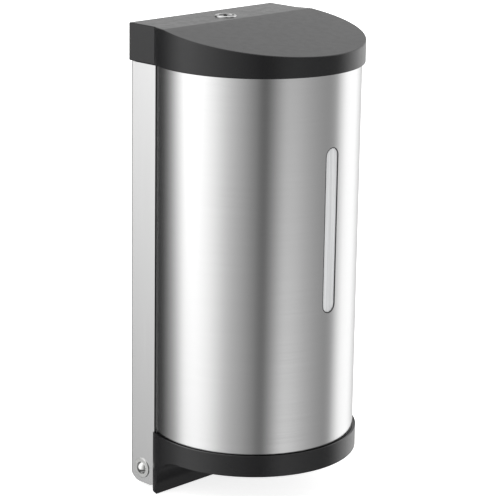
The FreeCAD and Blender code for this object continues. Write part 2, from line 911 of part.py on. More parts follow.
def tank_plan(grow):
    half_width = D.tank_half_width + grow
    radius = D.tank_radius + grow
    shoulder = D.plan_centre + half_chord(radius, half_width)
    return [
        (half_width, -shoulder, radius, 1, False),
        (-half_width, -shoulder),
        (-half_width, -(D.tank_rear - grow)),
        (half_width, -(D.tank_rear - grow)),
    ]


def make_tank():
    low, high, wall = D.shelf_level, D.tank_top, D.tank_wall
    outer = body("tank_outer")
    pad_outline(outer, "XY_Plane", low, tank_plan(0), high - low)
    inner = body("tank_inner")
    pad_outline(inner, "XY_Plane", low + wall, tank_plan(-wall), high - low - 2 * wall)
    filler = (0, -D.filler_depth)
    outlet = (0, -D.outlet_depth)
    blank = fuse(
        "tank_blank",
        outer,
        rod("filler_neck", D.filler_radius, (*filler, high - 1), 9),
        rod("outlet_neck", 6, (*outlet, low - 8), 9),
    )
    filler_bore = rod("filler_bore", D.filler_radius - 3, (*filler, high - 3), 12)
    outlet_bore = rod("outlet_bore", 4, (*outlet, low - 9), 12)
    keep(cut("tank", blank, inner, filler_bore, outlet_bore), "tank")
    seal = tube("filler_seal", D.filler_radius, D.filler_radius - 3, (*filler, high + 8), 1.2)
    keep(seal, "filler_seal")
    keep(tube("outlet_grommet", 4, 2.6, (*outlet, low - 8), 9), "outlet_grommet")


def make_filler_cap():
    centre = (0, -D.filler_depth)
    low = D.tank_top + 1.5
    top = D.tank_top + 13
    inner = D.filler_radius + 0.3
    skirt = rod("filler_skirt", inner + 1.7, (*centre, low), top - low)
    hollow = rod("filler_hollow", inner, (*centre, low - 1), D.tank_top + 9.5 - low + 1)
    ribs = []
    count = 18
    for index in range(count):
        angle = 2 * math.pi * index / count
        reach = number(inner) + 1.9
        spot = (reach * math.cos(angle), -D.filler_depth + reach * math.sin(angle), low)
        ribs.append(rod(f"filler_rib_{index}", 0.8, spot, top - low - 1))
    grip_half, grip_sheet = 12, 3
    middle = -D.filler_depth - grip_sheet / 2
    grip = box("filler_grip", (-grip_half, middle, top - 0.5), (grip_half, middle + grip_sheet, top + 2))
    keep(cut("filler_cap", fuse("filler_blank", skirt, grip, *ribs), hollow), "filler_cap")


# The pump


PUMP_SCREW_ANGLES = (-80, 0, 80)


def pump_point(radius, angle, depth):
    """A point about the pump's axis, at a depth from the wall."""
    turn = math.radians(angle)
    return (
        D.pump_across + radius * math.cos(turn),
        -depth,
        D.pump_level + radius * math.sin(turn),
    )


def pump_wall():
    return (D.pump_inner + D.pump_outer) / 2


def pump_screw_holes():
    spots = [pump_point(pump_wall(), angle, D.pump_front) for angle in PUMP_SCREW_ANGLES]
    return [(x, z, 0.8) for x, _, z in spots]


def u_outline(left, radius):
    """A channel closed by a half circle on the pump's right side, seen from the front."""
    across, level = D.pump_across, D.pump_level
    return [
        (left, level + radius),
        (across, level + radius, radius, 1, False),
        (across + radius, level, radius, 1, False),
        (across, level - radius),
        (left, level - radius),
    ]


def make_pump_housing():
    owner = body("pump_housing")
    left = D.pump_across - 13
    pad_outline(owner, "XZ_Plane", D.pump_rear, u_outline(left, D.pump_outer), D.pump_front - D.pump_rear)
    hollow = sketch(owner, "XZ_Plane", D.pump_rear + 2)
    outline(hollow, u_outline(left - 5, D.pump_inner))
    pocket(owner, hollow, 30, symmetric=False, reverse=True)
    bore = sketch(owner, "XZ_Plane")
    circles(bore, [(D.pump_across, D.pump_level, 5.4)])
    pocket(owner, bore)
    pilot_holes = sketch(owner, "XZ_Plane", D.pump_front - 4)
    circles(pilot_holes, pump_screw_holes())
    pocket(owner, pilot_holes, 10, symmetric=False, reverse=True)
    keep(owner, "pump_housing")
    cover = body("pump_cover")
    pad_outline(cover, "XZ_Plane", D.pump_front, u_outline(left, D.pump_outer), 2)
    hub = sketch(cover, "XZ_Plane")
    circles(hub, [(D.pump_across, D.pump_level, D.axle_radius), *pump_screw_holes()])
    pocket(cover, hub)
    keep(cover, "pump_cover")
    face = D.pump_front + 2
    screws = [
        screw(f"pump_screw_{angle}", 0.8, 1.2, pump_point(pump_wall(), angle, face), 6, "+Y", 1.0)
        for angle in PUMP_SCREW_ANGLES
    ]
    keep(group("pump_screws", screws), "pump_screws")


def tube_run(name, radius):
    """The soft tube's path: in along the top, half round the rotor and out along the bottom."""
    depth = -D.outlet_depth
    length = D.pump_across - 5
    bend = doc.addObject("Part::Torus", f"{name}_bend")
    bind(bend, "Radius1", D.tube_orbit)
    bind(bend, "Radius2", radius)
    bend.Angle3 = 180
    half_turn = DIRECTIONS["-Y"].multiply(FreeCAD.Rotation(Vector(0, 0, 1), -90))
    place(bend, (D.pump_across, depth, D.pump_level), half_turn)
    runs = [
        rod(f"{name}_run_{side}", radius, (5, depth, D.pump_level + side * D.tube_orbit), length, "+X")
        for side in (1, -1)
    ]
    return fuse(name, bend, *runs)


def make_pump_tube():
    bore = D.tube_radius - 1
    keep(cut("pump_tube", tube_run("tube_outside", D.tube_radius), tube_run("tube_inside", bore)), "pump_tube")


def make_inlet_elbow():
    top = D.pump_level + D.tube_orbit
    stem = rod("elbow_stem", 2.6, (0, -D.outlet_depth, top - 3), D.shelf_level + 1 - top + 3)
    block = rod("elbow_block", 3.8, (0, -D.outlet_depth, top - 3.8), D.shelf_level - 8.2 - top + 3.8)
    barb = rod("elbow_barb", D.tube_radius - 1, (0, -D.outlet_depth, top), 12, "+X")
    bore = rod("elbow_bore", 1.4, (0, -D.outlet_depth, top), 20)
    side_bore = rod("elbow_side_bore", 0.8, (0, -D.outlet_depth, top), 14, "+X")
    keep(cut("inlet_elbow", fuse("elbow_blank", stem, block, barb), bore, side_bore), "inlet_elbow")


def make_nozzle():
    """The outlet barrel and, in its mouth, a soft duckbill valve."""
    level = D.pump_level - D.tube_orbit
    tip = D.nozzle_tip
    centre = (0, -D.outlet_depth)
    barrel = rod("nozzle_barrel", D.nozzle_radius, (*centre, tip), level + D.nozzle_radius - tip)
    flange = rod("nozzle_flange", 6.8, (*centre, D.tray_bottom + D.tray_sheet), 2)
    barb = rod("nozzle_barb", D.tube_radius - 1, (*centre, level), 12, "+X")
    bore = rod("nozzle_bore", 1.9, (*centre, tip - 1), level - tip + 1)
    side_bore = rod("nozzle_side_bore", 0.8, (*centre, level), 14, "+X")
    whole = fuse("nozzle_blank", barrel, flange, barb)
    keep(cut("nozzle", whole, bore, side_bore), "nozzle")
    lip = cone("valve_lip", 2.8, 1.0, (*centre, tip), 2.2, "-Z")
    stem = rod("valve_stem", 1.9, (*centre, tip), 4)
    slit_rear, slit_front = -D.outlet_depth + 0.9, -D.outlet_depth - 0.9
    slit = box("valve_slit", (-0.2, slit_front, tip - 3), (0.2, slit_rear, tip + 5))
    keep(cut("outlet_valve", fuse("valve_blank", lip, stem), slit), "outlet_valve")


ROLLER_ANGLES = (90, 210, 330)


def gear_points(teeth, phase):
    """A gear's outline, with involute flanks, stub teeth and backlash."""
    module = D.gear_module.value
    pitch = module * teeth / 2
    base = pitch * math.cos(PRESSURE_ANGLE)
    tip = pitch + 0.8 * module
    root = pitch - 1.15 * module
    half_at_pitch = math.pi * TOOTH_SHARE / teeth
    roll = math.tan(PRESSURE_ANGLE) - PRESSURE_ANGLE
    points = []
    flank_radii = [max(base, root) + (tip - max(base, root)) * part / 4 for part in range(5)]
    for tooth in range(teeth):
        middle = 2 * math.pi * tooth / teeth + phase
        flank = []
        for radius in flank_radii:
            slope = math.acos(min(1.0, base / radius))
            flank.append((radius, half_at_pitch + roll - (math.tan(slope) - slope)))
        root_angle = flank[0][1] + 0.02
        rising = [(root, -root_angle)] + [(radius, -angle) for radius, angle in flank]
        falling = [(radius, angle) for radius, angle in reversed(flank)] + [(root, root_angle)]
        for radius, angle in rising + falling:
            turn = middle + angle
            points.append(Vector(radius * math.cos(turn), radius * math.sin(turn), 0))
    return points


def gear(name, teeth, centre, depth, thickness, phase):
    """A spur gear that stands along -Y from its depth."""
    points = gear_points(teeth, phase)
    face = Part.Face(Part.makePolygon(points + points[:1]))
    item = doc.addObject("Part::Feature", name)
    item.Shape = face.extrude(Vector(0, 0, thickness))
    across, level = centre
    item.Placement = FreeCAD.Placement(Vector(number(across), -number(depth), number(level)), DIRECTIONS["-Y"])
    return item


def make_pump_rotor():
    """One moulding: driven gear, hub, disc and three roller pins."""
    across, level = D.pump_across, D.pump_level
    wheel = gear("rotor_wheel", WHEEL_TEETH, (across, level), D.pump_rear - 4, 3, 0)
    hub = rod("rotor_hub", 5, (across, -(D.pump_rear - 1.2), level), 5, "-Y")
    disc = rod("rotor_disc", 13, (across, -(D.pump_rear + 2.5), level), 2, "-Y")
    core = rod("rotor_core", 4, (across, -(D.pump_rear + 4), level), 7.8, "-Y")
    pins = [
        rod(f"rotor_pin_{angle}", 1.5, pump_point(D.roller_orbit, angle, D.pump_rear + 4), 9.8, "-Y")
        for angle in ROLLER_ANGLES
    ]
    bore = rod("rotor_bore", D.axle_radius + D.running_gap, (across, -50, level), 40, "-Y")
    keep(cut("pump_rotor", fuse("rotor_blank", wheel, hub, disc, core, *pins), bore), "pump_rotor")
    rim = rod("rotor_rim", 13, (across, -(D.pump_rear + 11.8), level), 2, "-Y")
    holes = [
        rod(f"rim_hole_{angle}", 1.5, pump_point(D.roller_orbit, angle, D.pump_rear + 10), 6, "-Y")
        for angle in ROLLER_ANGLES
    ]
    rim_bore = rod("rim_bore", D.axle_radius + D.running_gap, (across, -50, level), 40, "-Y")
    keep(cut("rotor_cap", rim, rim_bore, *holes), "rotor_cap")
    start = (across, -D.gear_plate_depth, level)
    keep(rod("rotor_axle", D.axle_radius, start, D.pump_front + 2 - D.gear_plate_depth, "-Y"), "rotor_axle")


def make_rollers():
    for index, angle in enumerate(ROLLER_ANGLES, 1):
        start = pump_point(D.roller_orbit, angle, D.pump_rear + 5)
        roller = tube(f"roller_{index}", D.roller_radius, 1.5 + D.running_gap, start, 6.3, "-Y")
        keep(roller, f"roller_{index}")


# The drive


def centre_distance():
    return D.gear_module * ((WHEEL_TEETH + PINION_TEETH) / 2)


def idler_centre():
    return D.pump_across - centre_distance(), D.pump_level


def motor_centre():
    turn = math.radians(120)
    across, level = idler_centre()
    return across + centre_distance() * math.cos(turn), level + centre_distance() * math.sin(turn)


def make_compound_gear():
    across, level = idler_centre()
    front = D.gear_plate_depth + 2
    half_tooth = math.pi / PINION_TEETH
    wheel = gear("idler_wheel", WHEEL_TEETH, (across, level), front + 0.5, 2.3, 0)
    pinion = gear("idler_pinion", PINION_TEETH, (across, level), front + 2.8, 4.2, half_tooth)
    bore = rod("idler_bore", D.gear_axle_radius + D.running_gap, (across, -front, level), 10, "-Y")
    keep(cut("compound_gear", fuse("idler_blank", wheel, pinion), bore), "compound_gear")
    start = (across, -D.gear_plate_depth, level)
    axle = rod("gear_axle", D.gear_axle_radius, start, D.pump_rear - D.gear_plate_depth, "-Y")
    keep(axle, "gear_axle")


def make_motor():
    """A small brushed motor behind the gear plate: the turning parts first, then the can around them."""
    x, z = motor_centre()
    front = D.gear_plate_depth
    rear = front - D.motor_length
    shaft_radius = D.motor_shaft_radius

    def at(depth):
        return (x, -depth, z)

    teeth = gear("pinion_teeth", PINION_TEETH, (x, z), front + 2.3, 2.7, math.pi / PINION_TEETH)
    pinion_bore = rod("pinion_bore", shaft_radius, at(front + 2), 10, "-Y")
    keep(cut("motor_pinion", teeth, pinion_bore), "motor_pinion")
    shaft = rod("motor_shaft", shaft_radius, at(rear - 1), D.motor_length + 5.8, "-Y")
    core = rod("motor_core", 6, at(rear + 6), 12, "-Y")
    commutator = rod("motor_commutator", 2.6, at(rear + 3), 3, "-Y")
    keep(fuse("motor_armature", shaft, core, commutator), "motor_armature")
    bore_radius = shaft_radius + D.running_gap
    outside = rod("can_outside", D.motor_radius, at(rear + 2), D.motor_length - 2, "-Y")
    inside = rod("can_inside", D.motor_radius - 1, at(rear + 1), D.motor_length - 2, "-Y")
    can_bore = rod("can_bore", bore_radius, at(rear), D.motor_length + 5, "-Y")
    keep(cut("motor_can", outside, inside, can_bore), "motor_can")
    blank = rod("end_cap_blank", D.motor_radius, at(rear + 0.5), 1.5, "-Y")
    cap_bore = rod("end_cap_bore", bore_radius, at(rear - 2), 10, "-Y")
    keep(cut("motor_end_cap", blank, cap_bore), "motor_end_cap")


def make_gear_plate():
    """The plate between the motor and the gears, with three posts that carry the pump housing."""
    owner = body("gear_plate")
    pad_outline(owner, "XZ_Plane", D.gear_plate_depth, rectangle(-13, D.box_bottom - 0.1, 42, -62), 2)
    posts = sketch(owner, "XZ_Plane", D.gear_plate_depth + 1)
    circles(posts, [(38.5, -67.5, 2.4), (38.5, -104.5, 2.4), (9.5, -105.5, 2.4)])
    pad(owner, posts, D.pump_rear - D.gear_plate_depth - 1)
    bores = sketch(owner, "XZ_Plane")
    rotor_bore = (D.pump_across, D.pump_level, D.axle_radius)
    circles(bores, [rotor_bore, (*idler_centre(), D.gear_axle_radius), (*motor_centre(), 2)])
    pocket(owner, bores)
    keep(owner, "gear_plate")


# The electrical parts


def make_cell(name, x, z, rear, reversed_cell):
    """One dry cell, whose nub points forward or, in a reversed cell, back."""
    can_rear = rear + D.nub_length if reversed_cell else rear
    nub_rear = rear if reversed_cell else rear + D.cell_length
    can = rod(f"{name}_can", D.cell_radius, (x, -can_rear, z), D.cell_length, "-Y")
    return fuse(name, can, rod(f"{name}_nub", D.nub_radius, (x, -nub_rear, z), D.nub_length, "-Y"))


def make_battery_box():
    """A box for four cells in two columns of two, with a contact at the back of each."""
    low = (D.box_left, -D.box_front, D.box_bottom)
    high = (D.box_right, -D.box_rear, D.box_top)
    wall = D.box_wall
    inner_low = (low[0] + wall, low[1] - 5, low[2] + wall)
    inner_high = (high[0] - wall, high[1] - wall, high[2] - wall)
    hollow = box("box_inside", inner_low, inner_high)
    keep(cut("battery_box", box("box_outside", low, high), hollow), "battery_box")
    pitch_x = (inner_high[0] - inner_low[0]) / 2
    pitch_z = (inner_high[2] - inner_low[2]) / 2
    contact_rear = D.box_rear + wall
    rear = contact_rear + D.contact_sheet
    reach = D.contact_half_width
    cells, contacts = [], []
    for column in (0, 1):
        for row in (0, 1):
            x = inner_low[0] + pitch_x * (column + 0.5)
            z = inner_low[2] + pitch_z * (row + 0.5)
            name = f"cell_{column}{row}"
            cells.append(make_cell(name, x, z, rear, row == 1))
            near, far = (x - reach, -rear, z - reach), (x + reach, -contact_rear, z + reach)
            contacts.append(box(f"{name}_contact", near, far))
    keep(group("battery_cells", cells), "battery_cells")
    keep(group("battery_contacts", contacts), "battery_contacts")


def make_battery_door():
    """The box's front lid, which pulls straight off by its tab."""
    gap = D.box_door_gap
    inset = D.box_wall + gap
    front = D.box_front
    lid = box(
        "door_plate",
        (D.box_left, -(front + 2.3), D.box_bottom + gap),
        (D.box_right, -(front + gap), D.box_top),
    )
    plug = box(
        "door_plug",
        (D.box_left + inset, -(front + 0.4), D.box_bottom + inset),
        (D.box_right - inset, -(front - 1.6), D.box_top - inset),
    )
    tab = box(
        "door_tab",
        (D.box_left + 11, -(front + 5), D.box_top - 8),
        (D.box_left + 22, -(front + 2), D.box_top - 6),
    )
    keep(fuse("battery_door", lid, plug, tab), "battery_door")


def make_control_board():
    half_width, level = D.board_half_width, D.board_level
    top = level + D.board_sheet
    plate = box("board_blank", (-half_width, -D.board_front, level), (half_width, -D.board_rear, top))
    spots = [(x * (half_width - 4), -D.board_rear - 3) for x in (-1, 1)]
    holes = [rod(f"board_hole_{index}", 1.2, (*spot, level - 1), 4) for index, spot in enumerate(spots)]
    keep(cut("control_board", plate, *holes), "control_board")
    screws = []
    for index, spot in enumerate(spots):
        screws.append(screw(f"board_screw_{index}", 1.2, 2.2, (*spot, top), 1.6, "-Z", 1.4))
    keep(group("board_screws", screws), "board_screws")
    rear = -D.board_rear
    chip = box("board_chip", (-5, rear - 11, top), (5, rear - 4, top + 1.4))
    cans = [rod(f"board_can_{index}", 2.5, (x, rear - 10, top), 6) for index, x in enumerate((-14, 14))]
    plug = box("board_plug", (8, rear - 6, top), (13, rear - 2, top + 4.5))
    keep(group("board_components", [chip, plug, *cans]), "board_components")


def make_eyes():
    """The infra-red emitter and receiver, which look down through the window in the base."""
    length = 6
    for label, side in (("ir_emitter", -1), ("ir_receiver", 1)):
        start = (side * D.eye_across, -D.sensor_depth, D.board_level - length)
        barrel = rod(f"{label}_barrel", D.eye_radius, start, length)
        keep(fuse(label, barrel, ball(f"{label}_dome", D.eye_radius, start)), label)


def make_switch():
    """A slide switch on the battery box: a channel and the slider that runs in it."""
    left, right, rear, front, base = D.switch_left, D.switch_right, -D.switch_rear, -D.switch_front, D.box_top
    wall, floor_sheet, gap = 3.5, 2.5, 0.3
    side = wall - 1
    block = box("switch_blank", (left, front, base), (right, rear, base + 6))
    channel = box(
        "switch_channel", (left + wall, front + side, base + floor_sheet), (right - wall, rear - side, base + 7)
    )
    keep(cut("switch_body", block, channel), "switch_body")
    low = (left + wall + gap, front + side + gap, base + floor_sheet + gap)
    high = (left + wall + gap + 3.4, rear - side - gap, base + 8.5)
    keep(box("switch_slider", low, high), "switch_slider")


def check_document():
    for item in doc.Objects:
        if "Invalid" in item.State or "Error" in item.State:
            raise ValueError(f"{item.Label} failed: {item.State}")
    for item in nodes:
        if item.Shape.isNull() or not item.Shape.isValid():
            raise ValueError(f"{item.Label} has no valid shape")


def write_parts():
    os.makedirs("parts", exist_ok=True)
    for item in nodes:
        item.Shape.exportStep(f"parts/{item.Label}.step")


make_cap()
make_steel_cover()
make_sight_window()
make_side_rail("side_rail_left", -1)
make_side_rail("side_rail_right", 1)
make_base()
make_sensor_window()
make_hinge_bushes()
make_lock()
make_lock_rotor()
make_wall_plate()
make_strike()
make_hinge_pins()
make_chassis()
make_tank()
make_filler_cap()
make_pump_housing()
make_pump_tube()
make_inlet_elbow()
make_nozzle()
make_pump_rotor()
make_rollers()
make_compound_gear()
make_motor()
make_gear_plate()
make_battery_box()
make_battery_door()
make_control_board()
make_eyes()
make_switch()
doc.recompute()
check_document()
write_parts()
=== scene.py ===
"""The looks of a wall mounted, touch-free soap dispenser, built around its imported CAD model.

All of the script's own sizes are in millimetres and become metres in build(). +Z is up, the wall is at Y = 0
and the front faces -Y, as in the CAD.
"""

import json
import math

import bmesh
import bpy
from mathutils import Matrix, Vector


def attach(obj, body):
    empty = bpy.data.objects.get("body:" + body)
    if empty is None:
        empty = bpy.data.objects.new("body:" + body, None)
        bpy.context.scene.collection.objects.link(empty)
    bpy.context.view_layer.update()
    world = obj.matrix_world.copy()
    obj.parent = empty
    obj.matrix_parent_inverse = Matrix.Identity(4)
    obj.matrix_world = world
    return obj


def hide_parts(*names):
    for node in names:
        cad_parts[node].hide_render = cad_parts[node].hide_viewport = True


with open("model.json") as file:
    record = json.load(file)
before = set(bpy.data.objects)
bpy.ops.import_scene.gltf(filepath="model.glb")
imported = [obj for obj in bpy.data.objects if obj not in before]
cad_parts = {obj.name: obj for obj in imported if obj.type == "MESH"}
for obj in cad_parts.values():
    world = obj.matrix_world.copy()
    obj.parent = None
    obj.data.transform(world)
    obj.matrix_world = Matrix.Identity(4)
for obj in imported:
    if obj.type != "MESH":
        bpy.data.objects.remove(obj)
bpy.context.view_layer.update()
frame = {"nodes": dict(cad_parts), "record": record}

MM = 0.001

# the plan shared by the cap, the sheet and the base: a round front about a centre, cut off at the back
PLAN_CENTRE = 46.0
PLAN_RADIUS = 63.0
INNER_RADIUS = 58.4
LIP_RADIUS = 60.0
LIP_HEIGHT = 7.0
LIP_REAR = 29.0
HALF_HEIGHT = 140.0

# cap
CAP_BOTTOM = 118.0
CAP_REAR = 21.5
CAP_WALL = 2.5
CREASE = 31.8
FRONT_DROP = 10.8
TAB_GAP = 0.8

# curved sheet
COVER_RADIUS = 61.1
COVER_SHEET = 1.0
COVER_REAR = 21.9

# sight window
WINDOW_HALF = 5.2
WINDOW_LOW = -21.6
WINDOW_HIGH = 76.0
WINDOW_SEAT = 3.0
GASKET = 0.5
LENS_RECESS = 0.5
SEAT_FRONT = LIP_RADIUS - 0.6
SEAT_BACK = LIP_RADIUS - 2.4

# base, where the groove is the dark gap between its ledge and the sheet
BAND_TOP = -102.6
BAND_BOTTOM = -115.4
FLOOR_SHEET = 2.0
GROOVE_WIDTH = 1.1
GROOVE_DEPTH = 0.5
FIN_REAR = 21.3
FIN_INNER = 23.25
FIN_FRONT = 26.6
FIN_BLEND = 20.0
FIN_GAP = 0.4
OUTLET_DEPTH = 70.0
OUTLET_HOLE = 7.0
EYE_HALF = 11.0
EYE_REAR = 83.0
EYE_FRONT = 93.0

# side rails
RAIL_INNER = 52.4
RAIL_FRONT = 28.0
RAIL_CHAMFER = (1.8, 2.0)

# wall plate
PLATE_HALF = 56.6
PLATE_DEPTH = 21.0
PLATE_SHEET = 1.5
PLATE_BEND = 2.0
PLATE_BOTTOM = -137.8
PLATE_TOP = 134.0
FLANGE_TOP = 117.5
REAR_CORNER = 8.5
FRONT_CORNER = 4.0
TAB_HALF = 54.0
# screw holes: their distance to either side, their heights and their radius
WALL_SCREWS = (35.0, (-90.0, 90.0), 2.75)
CHASSIS_SCREWS = (42.0, (-40.0, 60.0), 1.6)

# hinge
PIN_DEPTH = 10.35
PIN_LEVEL = -128.6
PIN_RADIUS = 2.0
PIN_REACH = 1.4
PIN_HEAD = 3.75
PIN_HEAD_HEIGHT = 1.9
WASHER_RADIUS = 6.1
WASHER_SHEET = 0.6
WASHER_EDGE = 0.2
EAR_INNER = 51.8
EAR_WIDTH = 3.0
EAR_RADIUS = 8.0
BUSH_RADIUS = 3.0

# lock
LOCK_DEPTH = 20.0
LOCK_SLEEVE = 5.5
SLEEVE_BOTTOM = 124.2
LOCK_BEZEL = 6.5
BEZEL_HEIGHT = 0.8
BEZEL_EDGE = 0.7
BEZEL_RIM = 1.5
BEZEL_SINK = 0.45
LOCK_PLUG = 3.95
PLUG_BOTTOM = 121.7
PLUG_RISE = 0.2
PLUG_EDGE = 0.3
KEY_HALF = 3.1
KEY_GAP = 1.1
KEY_DEPTH = 4.0
KEY_TURN = 50.0


# Mesh tools


def as_mesh(name, bm):
    """A new object from a bmesh in millimetres."""
    bmesh.ops.recalc_face_normals(bm, faces=bm.faces)
    mesh = bpy.data.meshes.new(name)
    bm.to_mesh(mesh)
    bm.free()
    item = bpy.data.objects.new(name, mesh)
    bpy.context.scene.collection.objects.link(item)
    return item


def settle(item):
    """Puts the result of the object's modifiers into its mesh."""
    bpy.context.view_layer.update()
    result = item.evaluated_get(bpy.context.evaluated_depsgraph_get())
    mesh = bpy.data.meshes.new_from_object(result)
    item.modifiers.clear()
    item.data = mesh
    return item


def combine(base, tool, operation):
    modifier = base.modifiers.new("join", "BOOLEAN")
    modifier.operation = operation
    modifier.object = tool
    modifier.solver = "EXACT"
    settle(base)
    bpy.data.objects.remove(tool)
    return base


def cut(base, *tools):
    for tool in tools:
        combine(base, tool, "DIFFERENCE")
    return base


def fuse(base, *tools):
    for tool in tools:
        combine(base, tool, "UNION")
    return base


def common(base, tool):
    return combine(base, tool, "INTERSECT")


def soften(item, width, segments=3, angle=28):
    """Rounds the edges sharper than angle."""
    bevel = item.modifiers.new("edges", "BEVEL")
    bevel.width = width
    bevel.segments = segments
    bevel.limit_method = "ANGLE"
    bevel.angle_limit = math.radians(angle)
    bevel.use_clamp_overlap = True
    bevel.miter_outer = "MITER_ARC"
    return settle(item)


def prism(name, outline, low, high, axis="Z"):
    """An outline given as (x, y) for Z, (y, z) for X or (x, z) for Y, run from low to high along the axis."""

    def place(a, b, level):
        return {"Z": (a, b, level), "X": (level, a, b), "Y": (a, level, b)}[axis]

    bm = bmesh.new()
    ends = [[bm.verts.new(place(a, b, level)) for a, b in outline] for level in (low, high)]
    for end in ends:
        bm.faces.new(end)
    count = len(outline)
    for i in range(count):
        j = (i + 1) % count
        bm.faces.new((ends[0][i], ends[0][j], ends[1][j], ends[1][i]))
    return as_mesh(name, bm)


def block(name, low, high):
    (left, front, bottom), (right, rear, top) = low, high
    return prism(name, [(left, front), (right, front), (right, rear), (left, rear)], bottom, top)


def arc(centre, radius, start, end, steps):
    """Points along an arc, with the angles in degrees from +first towards +second coordinate."""
    points = []
    for i in range(steps + 1):
        angle = math.radians(start + (end - start) * i / steps)
        points.append((centre[0] + radius * math.cos(angle), centre[1] + radius * math.sin(angle)))
    return points


def front_arc(radius, rear, step=1.5):
    """The plan's front arc from its right end to its left, ending where it meets y = -rear."""
    reach = math.degrees(math.asin((PLAN_CENTRE - rear) / radius))
    steps = round((180 + 2 * reach) / step)
    return arc((0, -PLAN_CENTRE), radius, reach, -180 - reach, steps)


def lathe(name, profile, centre, axis="Z", segments=64):
    """A closed profile of (radius, height) turned about an axis through the centre."""
    bm = bmesh.new()
    rings = []
    for k in range(segments):
        angle = 2 * math.pi * k / segments
        ring = []
        for radius, height in profile:
            a, b = radius * math.cos(angle), radius * math.sin(angle)
            point = (a, b, height) if axis == "Z" else (height, a, b)
            ring.append(bm.verts.new(Vector(centre) + Vector(point)))
        rings.append(ring)
    count = len(profile)
    for k in range(segments):
        near, far = rings[k], rings[(k + 1) % segments]
        for i in range(count):
            j = (i + 1) % count
            bm.faces.new((near[i], near[j], far[j], far[i]))
    bmesh.ops.remove_doubles(bm, verts=bm.verts, dist=1e-4)
    return as_mesh(name, bm)


def rod(name, radius, low, high, centre, axis="Z", segments=64):
    return lathe(name, [(0, low), (radius, low), (radius, high), (0, high)], centre, axis, segments)


def trim(item, point, normal):
    """Cuts off what lies beyond a plane, and closes the cut."""
    bm = bmesh.new()
    bm.from_mesh(item.data)
    everything = bm.verts[:] + bm.edges[:] + bm.faces[:]
    bmesh.ops.bisect_plane(bm, geom=everything, plane_co=point, plane_no=normal, clear_outer=True)
    bmesh.ops.edgeloop_fill(bm, edges=[edge for edge in bm.edges if edge.is_boundary])
    bmesh.ops.recalc_face_normals(bm, faces=bm.faces)
    bm.to_mesh(item.data)
    bm.free()
    return item


def join(name, *items):
    """Separate shapes as one object."""
    bm = bmesh.new()
    for item in items:
        bm.from_mesh(item.data)
        bpy.data.objects.remove(item)
    return as_mesh(name, bm)


def slot_outline(half_width, low, high, steps=24):
    """An upright slot with round ends, in x and z."""
    top = arc((0, high - half_width), half_width, 0, 180, steps)
    return top + arc((0, low + half_width), half_width, 180, 360, steps)


def true_normals(item):
    """Keeps flat faces flat beside rounded edges, and gives walls about the plan's centre exact normals."""
    weighted = item.modifiers.new("normals", "WEIGHTED_NORMAL")
    weighted.keep_sharp = True
    settle(item)
    mesh = item.data
    normals = [Vector(corner.vector) for corner in mesh.corner_normals]
    for face in mesh.polygons:
        spokes = [mesh.vertices[v].co.xy + Vector((0, PLAN_CENTRE)) for v in face.vertices]
        middle = face.center.xy + Vector((0, PLAN_CENTRE))
        lengths = [spoke.length for spoke in spokes] + [middle.length]
        facing = middle.normalized().to_3d().dot(face.normal)
        if max(lengths) - min(lengths) < 0.05 and abs(facing) > 0.999:
            for loop, spoke in zip(face.loop_indices, spokes):
                normals[loop] = math.copysign(1, facing) * spoke.normalized().to_3d()
    mesh.normals_split_custom_set(normals)


def build(item, body, material, nodes, sharp=35):
    """Shades a finished piece, turns it to metres and puts it on its body in place of its CAD nodes."""
    item.data.shade_smooth()
    item.data.set_sharp_from_angle(angle=math.radians(sharp))
    true_normals(item)
    item.data.transform(Matrix.Scale(MM, 4))
    item.data.materials.clear()
    item.data.materials.append(material)
    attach(item, body)
    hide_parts(*nodes)
    return item


# Materials


